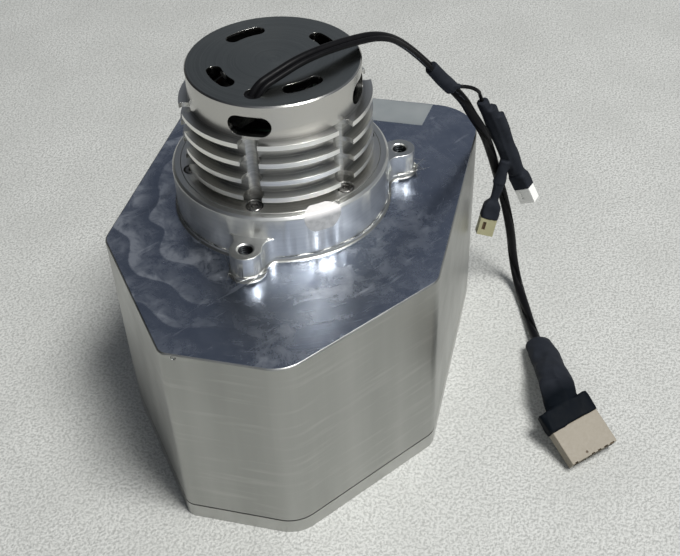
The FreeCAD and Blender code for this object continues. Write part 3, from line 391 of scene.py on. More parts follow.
casing = edged("casing", 0.2 * MM, welded_to="motor_ring", clamp=False)
fitted(casing, milled, stands_for=["casing", "motor_ring"])


# Threads of the three ears: an M6 thread winds down the wall of each hole. One spiral with a
# flat-topped crest is set three times round the motor axis.
EAR_TOP, THREAD_DROP = 97.3 * MM, 0.9 * MM
THREADS = (("Hole Radius", EAR_HOLE_R), ("Pitch", 1.0 * MM), ("Turns", 12.0), ("Crest Height", 0.26 * MM),
           ("Crest Top", 0.1 * MM), ("Crest Foot", 0.84 * MM), ("Ear Distance", EAR_DISTANCE),
           ("Thread Top", EAR_TOP - THREAD_DROP))
winding = bpy.data.node_groups.new("ear_threads", "GeometryNodeTree")
thread_inputs = {}
for title, value in THREADS:
    socket = winding.interface.new_socket(name=title, in_out="INPUT", socket_type="NodeSocketFloat")
    thread_inputs[socket.identifier] = value
winding.interface.new_socket(name="Geometry", in_out="OUTPUT", socket_type="NodeSocketGeometry")
given = winding.nodes.new("NodeGroupInput").outputs
length = product(winding, given["Pitch"], given["Turns"])
spiral = new_node(winding, "GeometryNodeCurveSpiral", Resolution=32, Rotations=given["Turns"],
                  Start_Radius=given["Hole Radius"], End_Radius=given["Hole Radius"], Height=length)
upright_spiral = new_node(winding, "GeometryNodeSetCurveNormal", {"mode": "Z_UP"}, Curve=spiral.outputs[0])
inward = product(winding, given["Crest Height"], -1.0)
corners = []
for across_crest, width, way in ((0.0, "Crest Foot", 0.5), (inward, "Crest Top", 0.5),
                                 (inward, "Crest Top", -0.5), (0.0, "Crest Foot", -0.5)):
    corners.append(new_node(winding, "ShaderNodeCombineXYZ", X=across_crest,
                            Y=product(winding, given[width], way)).outputs[0])
crest = new_node(winding, "GeometryNodeCurvePrimitiveQuadrilateral", {"mode": "POINTS"},
                 Point_1=corners[0], Point_2=corners[1], Point_3=corners[2], Point_4=corners[3])
thread = new_node(winding, "GeometryNodeCurveToMesh", Curve=upright_spiral.outputs[0],
                  Profile_Curve=crest.outputs[0], Fill_Caps=True)
ears = new_node(winding, "GeometryNodeMeshCircle", Vertices=len(EAR_ANGLES), Radius=given["Ear Distance"])
start_height = arithmetic(winding, "SUBTRACT", given["Thread Top"], length)
lifted = new_node(winding, "ShaderNodeCombineXYZ", Z=start_height)
placed = new_node(winding, "GeometryNodeTransform", Geometry=ears.outputs[0],
                  Translation=lifted.outputs[0], Rotation=(0, 0, radians(EAR_ANGLES[0])))
three = new_node(winding, "GeometryNodeInstanceOnPoints", Points=placed.outputs[0],
                 Instance=thread.outputs[0])
real = new_node(winding, "GeometryNodeRealizeInstances", Geometry=three.outputs[0])
shown = new_node(winding, "GeometryNodeSetMaterial", Geometry=real.outputs[0], Material=milled)
winding.links.new(shown.outputs[0], winding.nodes.new("NodeGroupOutput").inputs[0])
ear_threads = bpy.data.objects.new("ear_threads", bpy.data.meshes.new("ear_threads"))
bpy.context.collection.objects.link(ear_threads)
wind = ear_threads.modifiers.new("wind", "NODES")
wind.node_group = winding
for key, value in thread_inputs.items():
    wind[key] = value
applied(ear_threads)
fitted(ear_threads, milled)


# Base plate: the same alloy, closed from below with eight countersunk screws; a thin black
# gasket makes the dark seam round the foot. The ports and the shaft seal in the same rubber.
PLATE_TONES = (0.43, 0.433, 0.415, 1), (0.52, 0.523, 0.505, 1)
SCREW_TONES = (0.26, 0.255, 0.245, 1), (0.38, 0.37, 0.36, 1)


def painted(material, *names):
    """A CAD node that stays as it is and only takes the material."""
    for name in names:
        mesh = NODES[name].data
        mesh.materials.clear()
        mesh.materials.append(material)


plate_alloy, tree, shader, place = new_material("plate_alloy")
marks = use_group(tree, handling, Place=place, Cloud_Scale=50.0, Scratch_Scale=600.0)
upright = speckle(tree, stretched(tree, place, 1.0, 1.0, 0.02), 900.0)
fill(tree, shader, Base_Color=tinted(tree, marks["Cloud"], *PLATE_TONES), Metallic=1.0,
     Roughness=between(tree, marks["Cloud"], 0.0, 1.0, 0.30, 0.42),
     Normal=raised(tree, upright, 0.05 * MM, 0.4))
base_plate = edged("base_plate", 0.4 * MM)
fitted(base_plate, plate_alloy, stands_for=["base_plate"])

seal_rubber, tree, shader, place = new_material("seal_rubber")
dust = speckle(tree, place, 900.0)
fill(tree, shader, Base_Color=tinted(tree, dust, (0.012, 0.012, 0.013, 1), (0.04, 0.04, 0.04, 1)),
     Roughness=between(tree, dust, 0.3, 0.7, 0.5, 0.7), Normal=raised(tree, dust, 0.04 * MM, 0.3))
painted(seal_rubber, "base_gasket", "inlet_port_seal", "outlet_port_seal", "shaft_seal", "tube_seals")

screw_steel, tree, shader, place = new_material("screw_steel")
marks = use_group(tree, handling, Place=place, Cloud_Scale=400.0, Scratch_Scale=3000.0)
fill(tree, shader, Base_Color=tinted(tree, marks["Cloud"], *SCREW_TONES), Metallic=1.0,
     Roughness=between(tree, marks["Cloud"], 0.0, 1.0, 0.22, 0.36),
     Normal=raised(tree, marks["Scratch"], 0.02 * MM, 0.3))
for name in ("base_screws", "scroll_screws", "retainer_screws"):
    fitted(edged(name, 0.12 * MM), screw_steel, stands_for=[name])


# Motor housing: turned from bar, four cooling fins on a flange, with six upright screw channels
# cut through the fins. The lathe lines run round it.
BARREL_R, FIN_R = 30.4 * MM, 34.6 * MM
FIN_TONES = (0.80, 0.795, 0.76, 1), (0.93, 0.92, 0.88, 1)
BARREL_SHADE_TONES = (0.34, 0.34, 0.325, 1), (0.48, 0.475, 0.455, 1)
turned_alloy, tree, shader, place = new_material("turned_alloy")
marks = use_group(tree, handling, Place=place, Cloud_Scale=80.0, Scratch_Scale=900.0)
hoops = use_group(tree, turned, Place=place, Lines=1400.0, Around=0.15)
cuts = between(tree, hoops["Height"], 0.35, 0.65)
# the barrel between the fins is painted much darker than the fins, as shade in the gaps between them
outward = between(tree, hoops["Axis Distance"], BARREL_R + 1.0 * MM, FIN_R - 0.6 * MM)
tone = tinted(tree, outward, tinted(tree, cuts, *BARREL_SHADE_TONES), tinted(tree, cuts, *FIN_TONES))
fill(tree, shader, Base_Color=tone, Metallic=1.0, Anisotropic=0.3, Anisotropic_Rotation=0.25,
     Roughness=between(tree, marks["Cloud"], 0.0, 1.0, 0.28, 0.31), Tangent=round_the_axis(tree),
     Normal=raised(tree, hoops["Height"], 0.06 * MM, 0.25))
for name in ("motor_housing", "motor_flange", "bearing_bracket", "bracket_rim", "bracket_arms"):
    fitted(edged(name, 0.2 * MM), turned_alloy, stands_for=[name])
fitted(edged("flange_screws", 0.1 * MM), screw_steel, stands_for=["flange_screws"])


# Seal: a round film sticker that lies half on the ring's top and half down its wall, white on the
# top and a mottled grey down the wall. Its print is left out.
RING_R, RING_TOP, RING_EDGE = 40.2, 106.0, 0.9
SEAL_R, SEAL_AT, SEAL_LIFT = 7.0, radians(-52.5), 0.08
SEAL_CELLS = 16
# the bevel of the ring is SLANT wide and falls by SLOPE of that; the seal's middle lies past its start
SLANT, SLOPE, PAST_EDGE = 1.27, 0.71, 1.9
paper, tree, shader, place = new_material("seal_paper")
height = axis_of(tree, place, "Z")
worn = between(tree, speckle(tree, place, 500.0, 4.0), 0.42, 0.62)
lower = between(tree, height, (RING_TOP - 2.6) * MM, (RING_TOP - 0.9) * MM, 1.0, 0.0)
grey_down_wall = product(tree, lower, between(tree, worn, 0.0, 1.0, 0.75, 1.0))
fill(tree, shader, Base_Color=tinted(tree, grey_down_wall, (0.82, 0.80, 0.79, 1), (0.42, 0.42, 0.41, 1)),
     Roughness=0.38, Normal=raised(tree, speckle(tree, place, 420.0), 0.2 * MM, 0.4))
bm = bmesh.new()
rows = []
for i in range(SEAL_CELLS + 1):
    run = SEAL_R * (2 * i / SEAL_CELLS - 1)
    half = (SEAL_R ** 2 - run ** 2) ** 0.5
    over = run + PAST_EDGE
    if over < 0:
        radius, z = RING_R - RING_EDGE + over, RING_TOP + SEAL_LIFT
    elif over < SLANT:
        radius, z = RING_R - RING_EDGE + SLOPE * over + SEAL_LIFT, RING_TOP - SLOPE * over + SEAL_LIFT
    else:
        radius, z = RING_R + SEAL_LIFT, RING_TOP - RING_EDGE - (over - SLANT)
    ring = []
    for j in range(SEAL_CELLS + 1):
        turn = SEAL_AT + half * (2 * j / SEAL_CELLS - 1) / RING_R
        ring.append(bm.verts.new((radius * cos(turn) * MM, radius * sin(turn) * MM, z * MM)))
    rows.append(ring)
for a, b in zip(rows, rows[1:]):
    for j in range(SEAL_CELLS):
        cell = (a[j], b[j], b[j + 1], a[j + 1])
        if len({corner.co.to_tuple(7) for corner in cell}) == 4:
            bm.faces.new(cell)
bmesh.ops.remove_doubles(bm, verts=bm.verts, dist=1e-6)
seal_mesh = bpy.data.meshes.new("round_seal")
bm.to_mesh(seal_mesh)
bm.free()
seal_mesh.shade_smooth()
round_seal = bpy.data.objects.new("round_seal", seal_mesh)
bpy.context.collection.objects.link(round_seal)
fitted(round_seal, paper)


# Label: a silver foil sticker on the roof behind the motor, square to the casing's back wall.
# It is a thin flat slab with slightly crinkled foil. Its print is left out.
LABEL = ((12.5, 55.6), (43.6, 55.4), (45.4, 71.6), (14.3, 71.8))
FOIL_THICK = 0.12 * MM
foil, tree, shader, place = new_material("label_foil")
crinkle = speckle(tree, place, 160.0, 4.0)
fill(tree, shader, Base_Color=tinted(tree, crinkle, (0.30, 0.33, 0.34, 1), (0.39, 0.415, 0.42, 1)),
     Metallic=0.35, Roughness=between(tree, crinkle, 0.3, 0.7, 0.28, 0.40),
     Normal=raised(tree, crinkle, 0.2 * MM, 0.3))
bm = bmesh.new()
bottom, top = ([bm.verts.new((x * MM, y * MM, ROOF + up)) for x, y in LABEL] for up in (0.0, FOIL_THICK))
bm.faces.new(top)
for k in range(4):
    bm.faces.new((bottom[k], bottom[(k + 1) % 4], top[(k + 1) % 4], top[k]))
label_mesh = bpy.data.meshes.new("foil_label")
bm.to_mesh(label_mesh)
bm.free()
foil_label = bpy.data.objects.new("foil_label", label_mesh)
bpy.context.collection.objects.link(foil_label)
fitted(foil_label, foil)


# Cap: a shallow turned cover, its flat top faced in one cut so that it mirrors the dark
# ceiling. Four arc slots, four side windows and the cable hole let air and cable through.
CAP_INSIDE_R, CAP_INSIDE_TOP = 28.5 * MM, 144.2 * MM
CAP_WALL_TONE = (0.55, 0.54, 0.515, 1)
CAP_TOP_TONES = (0.33, 0.345, 0.325, 1), (0.42, 0.435, 0.41, 1)
CAP_INSIDE_SHADE_TONE = (0.07, 0.07, 0.07, 1)
faced_alloy, tree, shader, place = new_material("faced_alloy")
marks = use_group(tree, handling, Place=place, Cloud_Scale=70.0, Scratch_Scale=800.0)
rings = use_group(tree, turned, Place=place, Lines=2400.0, Around=0.3)
facing = axis_of(tree, tree.nodes.new("ShaderNodeNewGeometry").outputs["Normal"], "Z")
height = axis_of(tree, place, "Z")
top_tone = tinted(tree, between(tree, rings["Height"], 0.3, 0.7), *CAP_TOP_TONES)
cap_tone = tinted(tree, between(tree, facing, 0.8, 0.95), CAP_WALL_TONE, top_tone)
# the cap's inner faces are painted near black as shade under the cap
inside_shade = product(tree, between(tree, rings["Axis Distance"], CAP_INSIDE_R, CAP_INSIDE_R + 0.5 * MM, 1.0, 0.0),
                 between(tree, height, CAP_INSIDE_TOP, CAP_INSIDE_TOP + 0.6 * MM, 1.0, 0.0))
fill(tree, shader, Base_Color=tinted(tree, inside_shade, cap_tone, CAP_INSIDE_SHADE_TONE), Metallic=1.0,
     Roughness=between(tree, marks["Cloud"], 0.0, 1.0, 0.22, 0.27), Anisotropic=0.35,
     Anisotropic_Rotation=0.25, Tangent=round_the_axis(tree),
     Normal=raised(tree, rings["Height"], 0.03 * MM, 0.4))
fitted(edged("top_cap", 0.3 * MM), faced_alloy, stands_for=["top_cap"])


# Winding and electronics under the cap: laminated stator, enamelled copper coils and the
# green sensor board round the shaft.
lamination, tree, shader, place = new_material("stator_sheets")
layers = new_node(tree, "ShaderNodeTexWave", {"bands_direction": "Z"}, Vector=place,
                  Scale=900.0).outputs["Fac"]
fill(tree, shader, Base_Color=tinted(tree, layers, (0.05, 0.05, 0.055, 1), (0.10, 0.10, 0.105, 1)),
     Metallic=1.0, Roughness=0.5, Normal=raised(tree, layers, 0.1 * MM, 0.5))
painted(lamination, "stator_core")

copper, tree, shader, place = new_material("enamelled_copper")
strand = speckle(tree, place, 500.0, 2.0)
# the coils are painted a darker red-brown than their enamel, as shade under the cap
fill(tree, shader, Base_Color=tinted(tree, strand, (0.14, 0.025, 0.012, 1), (0.26, 0.06, 0.03, 1)),
     Metallic=0.6, Roughness=0.3, Coat_Weight=0.4, Normal=raised(tree, strand, 0.1 * MM, 0.3))
painted(copper, "stator_coils")

board_green_in_shade, tree, shader, place = new_material("board_green_in_shade")
tracks = new_node(tree, "ShaderNodeTexBrick", Vector=place, Scale=300.0).outputs["Fac"]
# the board's green is painted almost black as shade under the cap
fill(tree, shader, Base_Color=tinted(tree, tracks, (0.002, 0.010, 0.005, 1), (0.004, 0.016, 0.008, 1)),
     Roughness=0.5, Coat_Weight=0.2, Normal=raised(tree, tracks, 0.05 * MM, 0.3))
painted(board_green_in_shade, "sensor_board")


# Rotor: a ground steel shaft that carries the black magnet, the wheel with its nine blades and a
# brass nut. It turns in two ball bearings, whose races and balls are steel too and whose cages
# are moulded.
ground_steel, tree, shader, place = new_material("ground_steel")
hoops = use_group(tree, turned, Place=place, Lines=5200.0)
fill(tree, shader, Base_Color=tinted(tree, hoops["Height"], (0.55, 0.55, 0.55, 1), (0.68, 0.68, 0.68, 1)),
     Metallic=1.0, Roughness=0.2, Normal=raised(tree, hoops["Height"], 0.02 * MM, 0.3))
painted(ground_steel, "shaft", "bearing_retainer", "preload_washer", "lower_bearing_inner_race",
        "lower_bearing_outer_race", "upper_bearing_inner_race", "upper_bearing_outer_race",
        "lower_bearing_balls", "upper_bearing_balls")

ferrite, tree, shader, place = new_material("magnet_ring")
pores = speckle(tree, place, 1500.0)
fill(tree, shader, Base_Color=tinted(tree, pores, (0.03, 0.03, 0.032, 1), (0.07, 0.07, 0.072, 1)),
     Metallic=0.6, Roughness=0.45, Normal=raised(tree, pores, 0.04 * MM, 0.4))
painted(ferrite, "rotor_magnet")

cage_plastic, tree, shader, place = new_material("cage_plastic")
pores = speckle(tree, place, 1200.0)
fill(tree, shader, Base_Color=tinted(tree, pores, (0.42, 0.28, 0.12, 1), (0.52, 0.36, 0.17, 1)),
     Roughness=0.5, Normal=raised(tree, pores, 0.03 * MM, 0.3))
painted(cage_plastic, "lower_bearing_cage", "upper_bearing_cage")

wheel_alloy, tree, shader, place = new_material("wheel_alloy")
marks = use_group(tree, handling, Place=place, Cloud_Scale=90.0, Scratch_Scale=900.0)
fill(tree, shader, Base_Color=tinted(tree, marks["Cloud"], (0.62, 0.63, 0.64, 1), (0.74, 0.75, 0.76, 1)),
     Metallic=1.0, Roughness=0.34, Normal=raised(tree, marks["Scratch"], 0.03 * MM, 0.3))
for name in ("blower_wheel", "wheel_blades"):
    fitted(edged(name, 0.2 * MM), wheel_alloy, body="rotor", stands_for=[name])

nut_brass, tree, shader, place = new_material("nut_brass")
marks = use_group(tree, handling, Place=place, Cloud_Scale=300.0, Scratch_Scale=2000.0)
fill(tree, shader, Base_Color=tinted(tree, marks["Cloud"], (0.62, 0.44, 0.17, 1), (0.72, 0.53, 0.22, 1)),
     Metallic=1.0, Roughness=0.28, Normal=raised(tree, marks["Scratch"], 0.02 * MM, 0.3))
fitted(edged("wheel_nut", 0.2 * MM), nut_brass, body="rotor", stands_for=["wheel_nut"])


# Scroll, nozzle, duct tubes and foam, all hidden in the casing: the scroll and the nozzle are
# moulded in black plastic, the tubes are cut from grey pipe, and the foam is cut from sheet.
scroll_plastic, tree, shader, place = new_material("scroll_plastic")
grain = speckle(tree, place, 1800.0)
fill(tree, shader, Base_Color=tinted(tree, grain, (0.025, 0.025, 0.028, 1), (0.045, 0.045, 0.048, 1)),
     Roughness=between(tree, grain, 0.3, 0.7, 0.42, 0.55), Normal=raised(tree, grain, 0.04 * MM, 0.3))
for name in ("scroll_floor", "scroll_outlet", "scroll_housing", "inlet_nozzle"):
    fitted(edged(name, 0.3 * MM), scroll_plastic, stands_for=[name])

tube_plastic, tree, shader, place = new_material("tube_plastic")
grain = speckle(tree, place, 900.0)
fill(tree, shader, Base_Color=tinted(tree, grain, (0.26, 0.27, 0.28, 1), (0.32, 0.33, 0.34, 1)),
     Roughness=0.45, Normal=raised(tree, grain, 0.04 * MM, 0.3))
painted(tube_plastic, "inlet_tube", "outlet_tube")

open_foam, tree, shader, place = new_material("open_foam")
cells = new_node(tree, "ShaderNodeTexVoronoi", Vector=place, Scale=700.0).outputs["Distance"]
fill(tree, shader, Base_Color=tinted(tree, cells, (0.02, 0.02, 0.022, 1), (0.07, 0.07, 0.072, 1)),
     Roughness=0.95, Normal=raised(tree, cells, 0.8 * MM, 0.9))
painted(open_foam, "silencer_foam")


# Cables: black jacketed cords. Two leave the bush in the cap side by side and meet in a shrink
# sleeve; from there a thick one runs over the back corner to the floor and the wide plug, and a
# thin branch goes to the splice pack with the two small plugs.
HOLE = Vector((0.0, -23.2, 0.0))
RUN = Vector((0.6050, 0.7962, 0.0))
ASIDE = Vector((-RUN.y, RUN.x, 0.0))
ARCH = ((-0.3, 143.3), (2.2, 146.8), (9.0, 148.2), (22.0, 150.4), (40.0, 149.2), (57.0, 146.0))
SLEEVE_A = Vector((48.7, 40.8, 123.5))
SLEEVE_B = Vector((56.9, 45.7, 112.0))
LEAD_OFF, SENSOR_OFF = 1.15, -1.65
LEAD_D, SENSOR_D, CABLE_D, BRANCH_D = 3.0, 2.0, 4.0, 1.5
axis = (SLEEVE_B - SLEEVE_A).normalized()
left = Vector((-axis.y, axis.x, 0)).normalized()
CABLE = [SLEEVE_B + left * 0.5, SLEEVE_B + left * 0.5 + axis * 8.0] + [Vector(p) for p in (
    (64.0, 50.6, 98.7), (69.4, 50.4, 91.0), (72.0, 58.3, 77.0), (75.3, 63.9, 61.0), (79.9, 64.9, 44.5),
    (83.4, 65.8, 28.0), (85.2, 67.3, 12.5), (89.2, 60.0, 3.0), (93.7, 47.5, 2.1), (97.6, 35.4, 2.2),
    (100.2, 27.5, 3.1), (102.0, 22.0, 4.6))]
PACK_A, PACK_B = Vector((68.9, 56.5, 101.3)), Vector((82.3, 63.6, 64.0))
along = (PACK_B - PACK_A).normalized()
across = Vector((0.907, 0.209, 0.366))
across = (across - along * across.dot(along)).normalized()
pack_top = PACK_A - across * 1.2
BRANCH_WAY = Vector((0.93, 0.34, -0.13)).normalized()
stub = SLEEVE_B - axis * 3.0 - left * 1.4 + BRANCH_WAY * 4.5
BRANCH = [stub, stub + BRANCH_WAY * 4.0, Vector((67.0, 49.6, 109.4)), pack_top - along * 4.0, pack_top,
          pack_top + along * 17.0, pack_top + along * 33.0]


def arch(off):
    """The route (mm) of a cable from the bush to the sleeve, that far aside from the pair's middle."""
    end = SLEEVE_A + left * off
    start = [HOLE + RUN * s + ASIDE * off + Vector((0, 0, z)) for s, z in ARCH]
    return start + [end - axis * 13.0, end]


def laid(name, points, dia, material):
    """A round cord along its route points (mm)."""
    curve = bpy.data.curves.new(name, "CURVE")
    curve.dimensions = "3D"
    curve.resolution_u = 14
    curve.bevel_depth = dia * MM / 2
    curve.bevel_resolution = 6
    curve.use_fill_caps = True
    line = curve.splines.new("NURBS")
    line.points.add(len(points) - 1)
    for knot, p in zip(line.points, points):
        knot.co = (p[0] * MM, p[1] * MM, p[2] * MM, 1)
    line.order_u = 3
    line.use_endpoint_u = True
    cord = bpy.data.objects.new(name, curve)
    bpy.context.collection.objects.link(cord)
    cord.data.materials.append(material)
    return cord


jacket, tree, shader, place = new_material("cable_jacket")
rub = speckle(tree, place, 350.0, 4.0)
fill(tree, shader, Base_Color=tinted(tree, rub, (0.004, 0.004, 0.0045, 1), (0.009, 0.009, 0.010, 1)),
     Roughness=between(tree, rub, 0.3, 0.7, 0.30, 0.42), Specular_IOR_Level=0.09,
     Normal=raised(tree, rub, 0.2 * MM, 0.2))
lead = laid("motor_cable_arch", arch(LEAD_OFF), LEAD_D, jacket)
sensor = laid("sensor_cable_arch", arch(SENSOR_OFF), SENSOR_D, jacket)

# the thick one is two insulated leads in a thin skin that shrank on to them and twists slowly
TWIST = 2.3
twin_jacket, tree, shader, place = new_material("twin_jacket")
rub = speckle(tree, place, 350.0, 4.0)
run_and_round = tree.nodes.new("ShaderNodeTexCoord").outputs["UV"]
turning = weighed(tree, (axis_of(tree, run_and_round, "Y"), 1.0), (axis_of(tree, run_and_round, "X"), TWIST))
lobes = arithmetic(tree, "ABSOLUTE", arithmetic(tree, "SINE", product(tree, turning, 2 * pi)))
groove_with_shade = between(tree, lobes, 0.0, 0.5)
# the groove between the two leads is dented by the bump and also painted darker as shade
fill(tree, shader, Base_Color=tinted(tree, groove_with_shade, (0.001, 0.001, 0.001, 1), (0.006, 0.006, 0.007, 1)),
     Roughness=between(tree, rub, 0.3, 0.7, 0.32, 0.44), Specular_IOR_Level=0.10,
     Normal=raised(tree, groove_with_shade, 1.2 * MM, 0.8))
thick = laid("motor_cable", CABLE, CABLE_D, twin_jacket)
branch = laid("sensor_branch", BRANCH, BRANCH_D, jacket)
for piece, node in ((lead, "motor_cable_a"), (sensor, "sensor_cable_a"), (thick, "motor_cable_b"),
                    (branch, "sensor_cable_b")):
    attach(piece, BLOWER)
    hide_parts(node)
painted(jacket, "cable_grommet")


# Shrink tubes: thin black sleeves that shrank unevenly, so they are creased along the cable and
# a little baggy, with rounded mouths. The boot of the wide plug is the same sleeve, folded over;
# it is painted a darker black as shade, and the tube above it a lighter black as sheen.
BOOT_AT, BOOT_REACH = (0.1247, -0.0300, 0.0094), (20.0 * MM, 26.0 * MM)
FOLD_RATE, DENT_RATE, FOLD_STRETCH = 0.24, 0.12, 0.8


def creased(name, parts, way, voxel, deep, seed):
    """One sleeve over some CAD nodes, each swollen by its own measure, then welded, smoothed and
    dented by deep. Its creases run along way (all in mm)."""
    whole = bmesh.new()
    for node, grown in parts.items():
        bm = bmesh.new()
        bm.from_mesh(NODES[node].data)
        bmesh.ops.remove_doubles(bm, verts=bm.verts, dist=2e-6)
        bm.normal_update()
        outward = [v.normal.copy() for v in bm.verts]
        for v, normal in zip(bm.verts, outward):
            v.co += normal * grown * MM
        swollen = bpy.data.meshes.new(node + "_swollen")
        bm.to_mesh(swollen)
        bm.free()
        whole.from_mesh(swollen)
    mesh = bpy.data.meshes.new(name)
    whole.to_mesh(mesh)
    whole.free()
    piece = bpy.data.objects.new(name, mesh)
    bpy.context.collection.objects.link(piece)
    for kind, settings in (("REMESH", {"mode": "VOXEL", "voxel_size": voxel * MM}),
                           ("SMOOTH", {"factor": 0.5, "iterations": 8})):
        change = piece.modifiers.new(kind.lower(), kind)
        for key, value in settings.items():
            setattr(change, key, value)
    applied(piece)
    way = Vector(way).normalized()
    normals = [v.normal.copy() for v in piece.data.vertices]
    for v, normal in zip(piece.data.vertices, normals):
        here = v.co / MM
        across_way = here - way * here.dot(way) * FOLD_STRETCH
        fold = noise.noise(across_way * FOLD_RATE + Vector((seed, 0, 0)))
        dent = noise.noise(here * DENT_RATE + Vector((0, seed, 0)))
        v.co = v.co + normal * (-abs(fold) * 1.2 + dent * 1.3) * deep * MM
    piece.data.shade_smooth()
    return piece


shrink_black, tree, shader, place = new_material("shrink_tube")
crease = speckle(tree, place, 200.0, 3.0, 0.5)
from_boot = vector_math(tree, "DISTANCE", place, BOOT_AT)["Value"]
tube_sheen_tone = tinted(tree, crease, (0.012, 0.014, 0.019, 1), (0.030, 0.034, 0.043, 1))
boot_shade_tone = tinted(tree, crease, (0.003, 0.005, 0.007, 1), (0.006, 0.008, 0.012, 1))
# near the plug the boot is painted darker as shade, and the tube further up lighter as sheen
fill(tree, shader, Base_Color=tinted(tree, between(tree, from_boot, *BOOT_REACH), boot_shade_tone, tube_sheen_tone),
     Roughness=between(tree, crease, 0.3, 0.7, 0.52, 0.66), Specular_IOR_Level=0.05,
     Normal=raised(tree, crease, 0.2 * MM, 0.2))
for name, parts, way, voxel, deep, seed in (
        ("cable_junction", {"junction_sleeve": -0.1}, axis, 0.35, 0.3, 1.0),
        ("splice_bundle", {"splice_pack": 0.85, "sensor_sleeve_left": 0.15, "sensor_sleeve_right": 0.25},
         along, 0.4, 0.45, 2.0),
        ("plug_sleeve", {"plug_shrink_tube": 0.7, "plug_boot": 0.35}, (0.5, -0.85, -0.1), 0.45, 0.55, 5.0)):
    fitted(creased(name, parts, way, voxel, deep, seed), shrink_black,
           stands_for=list(parts))


# Wide plug: a beige moulded housing that lies tilted on its front edge. It has a small dimple on
# top and contact notches on its open edge, both painted brown inside as shade.
PLUG_TOP, PLUG_HALF = Vector((124.66, -30.0, 9.38)), 7.25
onward = Vector((0.642, -0.654, -0.400)).normalized()
rightward = Vector((0.742, 0.662, 0.108))
rightward = (rightward - onward * rightward.dot(onward)).normalized()
upward = onward.cross(rightward)
OLD_DIMPLE, OLD_DIMPLE_R = PLUG_TOP + onward * (PLUG_HALF - 4.4) + rightward * 0.9, 0.85
DIMPLE, DIMPLE_R = PLUG_TOP + onward * (PLUG_HALF - 1.75) - rightward * 2.7, 0.55
CONTACTS = ((-8.6, 1.2), (-0.8, 1.4), (2.2, 1.6), (5.3, 1.7), (8.2, 1.9))
NOTCH_DEEP, NOTCH_HIGH = 0.9, 1.3
SHADE_BROWN = (0.10, 0.065, 0.035, 1)


def away_from_line(tree, place, point, way):
    """How far along a line a place is, and how far off it (m)."""
    offset = vector_math(tree, "SUBTRACT", place, point)["Vector"]
    run = vector_math(tree, "DOT_PRODUCT", offset, way)["Value"]
    foot = vector_math(tree, "SCALE", way, scale=run)["Vector"]
    return run, vector_math(tree, "DISTANCE", offset, foot)["Value"]


def moulded(name, dark, light, rough, marked):
    """A moulded plastic whose marks, each a point, a way, a reach along it and a radius, are painted brown as
    shade.
    """
    material, tree, shader, place = new_material(name)
    grain = speckle(tree, place, 1400.0)
    tone = tinted(tree, speckle(tree, place, 120.0), dark, light)
    for point, way, near, far, radius in marked:
        run, gap = away_from_line(tree, place, point * MM, way)
        mark = product(tree, between(tree, run, (near - 0.05) * MM, near * MM),
                       between(tree, run, far * MM, (far + 0.05) * MM, 1.0, 0.0),
                       between(tree, gap, (radius - 0.1) * MM, radius * MM, 1.0, 0.0))
        tone = tinted(tree, mark, tone, SHADE_BROWN)
    fill(tree, shader, Base_Color=tone, Specular_IOR_Level=0.3,
         Roughness=between(tree, grain, 0.3, 0.7, rough - 0.06, rough + 0.06),
         Normal=raised(tree, grain, 0.03 * MM, 0.25))
    return material


plug = edged("plug_housing", 0)

# the CAD dimple sits too far in, so it is closed, and a new one is cut nearer the open edge
bm = bmesh.new()
bm.from_mesh(plug.data)
pit = []
for v in bm.verts:
    offset = v.co / MM - OLD_DIMPLE
    depth = offset.dot(upward)
    if (offset - upward * depth).length < OLD_DIMPLE_R and depth > -1.5:
        pit.append(v)
bmesh.ops.delete(bm, geom=pit, context="VERTS")
bmesh.ops.holes_fill(bm, edges=[e for e in bm.edges if e.is_boundary], sides=0)
bmesh.ops.recalc_face_normals(bm, faces=bm.faces)
bm.to_mesh(plug.data)
bm.free()
plug_turn = Matrix((onward, rightward, upward)).transposed().to_4x4()
bm = bmesh.new()
bmesh.ops.create_cone(bm, cap_ends=True, segments=20, radius1=DIMPLE_R * MM, radius2=DIMPLE_R * MM,
                      depth=1.0 * MM, matrix=Matrix.Translation((DIMPLE + upward * 0.2) * MM) @ plug_turn)
for aside, width in CONTACTS:
    middle = PLUG_TOP + onward * PLUG_HALF + rightward * aside
    size = Matrix.Diagonal((NOTCH_DEEP * MM, width * MM, NOTCH_HIGH * MM, 1.0))
    bmesh.ops.create_cube(bm, size=1.0, matrix=Matrix.Translation(middle * MM) @ plug_turn @ size)
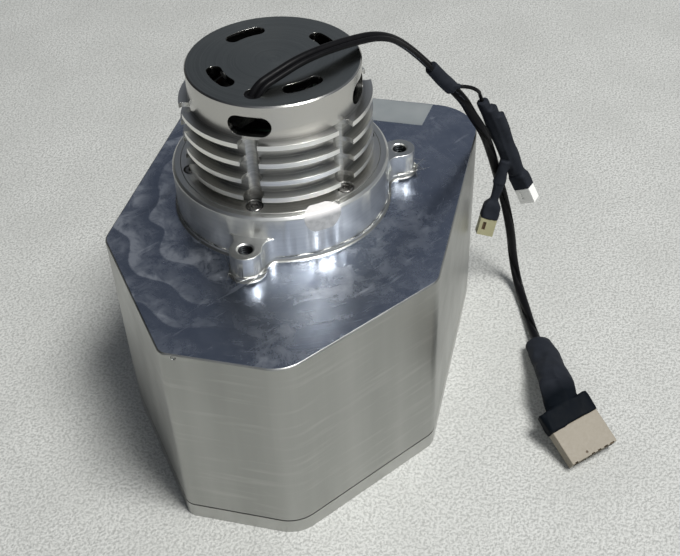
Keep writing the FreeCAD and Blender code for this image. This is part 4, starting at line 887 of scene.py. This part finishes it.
notch_mesh = bpy.data.meshes.new("notches")
bm.to_mesh(notch_mesh)
bm.free()
notches = bpy.data.objects.new("notches", notch_mesh)
bpy.context.collection.objects.link(notches)
rim = plug.modifiers.new("edge", "BEVEL")
rim.width = 0.3 * MM
rim.segments = 2
rim.limit_method = "ANGLE"
carve = plug.modifiers.new("carve", "BOOLEAN")
carve.operation = "DIFFERENCE"
carve.solver = "EXACT"
carve.object = notches
applied(plug)
bpy.data.objects.remove(notches)
plug.data.shade_smooth()
plug.data.set_sharp_from_angle(angle=radians(32))
level_faces = plug.modifiers.new("level_faces", "WEIGHTED_NORMAL")
level_faces.keep_sharp = True
applied(plug)
# the dimple and the notches are painted brown as shade
brown = [(DIMPLE, -upward, 0.1, 0.4, DIMPLE_R + 0.1)]
for aside, width in CONTACTS:
    notch_top = PLUG_TOP + onward * (PLUG_HALF - 0.5) + rightward * aside - upward * 0.15
    brown.append((notch_top, -upward, 0.0, 0.8, 1.1))
fitted(plug, moulded("plug_beige_plastic", (0.275, 0.242, 0.190, 1), (0.315, 0.28, 0.222, 1), 0.5, brown),
       stands_for=["plug_housing"])


# Small plugs: two moulded housings at the ends of the splice pack's legs, one cream with a catch
# slot along its top that is painted brown as shade, one milky white and plain.
LEG_A, LEG_B = Vector((78.5, 60.4, 70.0)), Vector((76.9, 57.4, 61.5))
leg_way = (LEG_B - LEG_A).normalized()
leg_side = Vector((0.95, 0.28, 0.1))
leg_side = (leg_side - leg_way * leg_side.dot(leg_way)).normalized()
catch = LEG_B + leg_way * 18.1 - leg_side.cross(leg_way) * 2.4 - leg_side * 1.4
# the cream plug's catch slot is painted brown as shade
for name, slot, dark, light, rough, marked in (
        ("sensor_plug_left", "plug_cream", (0.33, 0.315, 0.185, 1), (0.42, 0.40, 0.25, 1), 0.35,
         [(catch, leg_way, 0.0, 3.4, 0.8)]),
        ("sensor_plug_right", "plug_white", (0.90, 0.90, 0.87, 1), (0.96, 0.96, 0.93, 1), 0.3, [])):
    fitted(edged(name, 0.3 * MM), moulded(slot + "_plastic", dark, light, rough, marked),
           stands_for=[name])
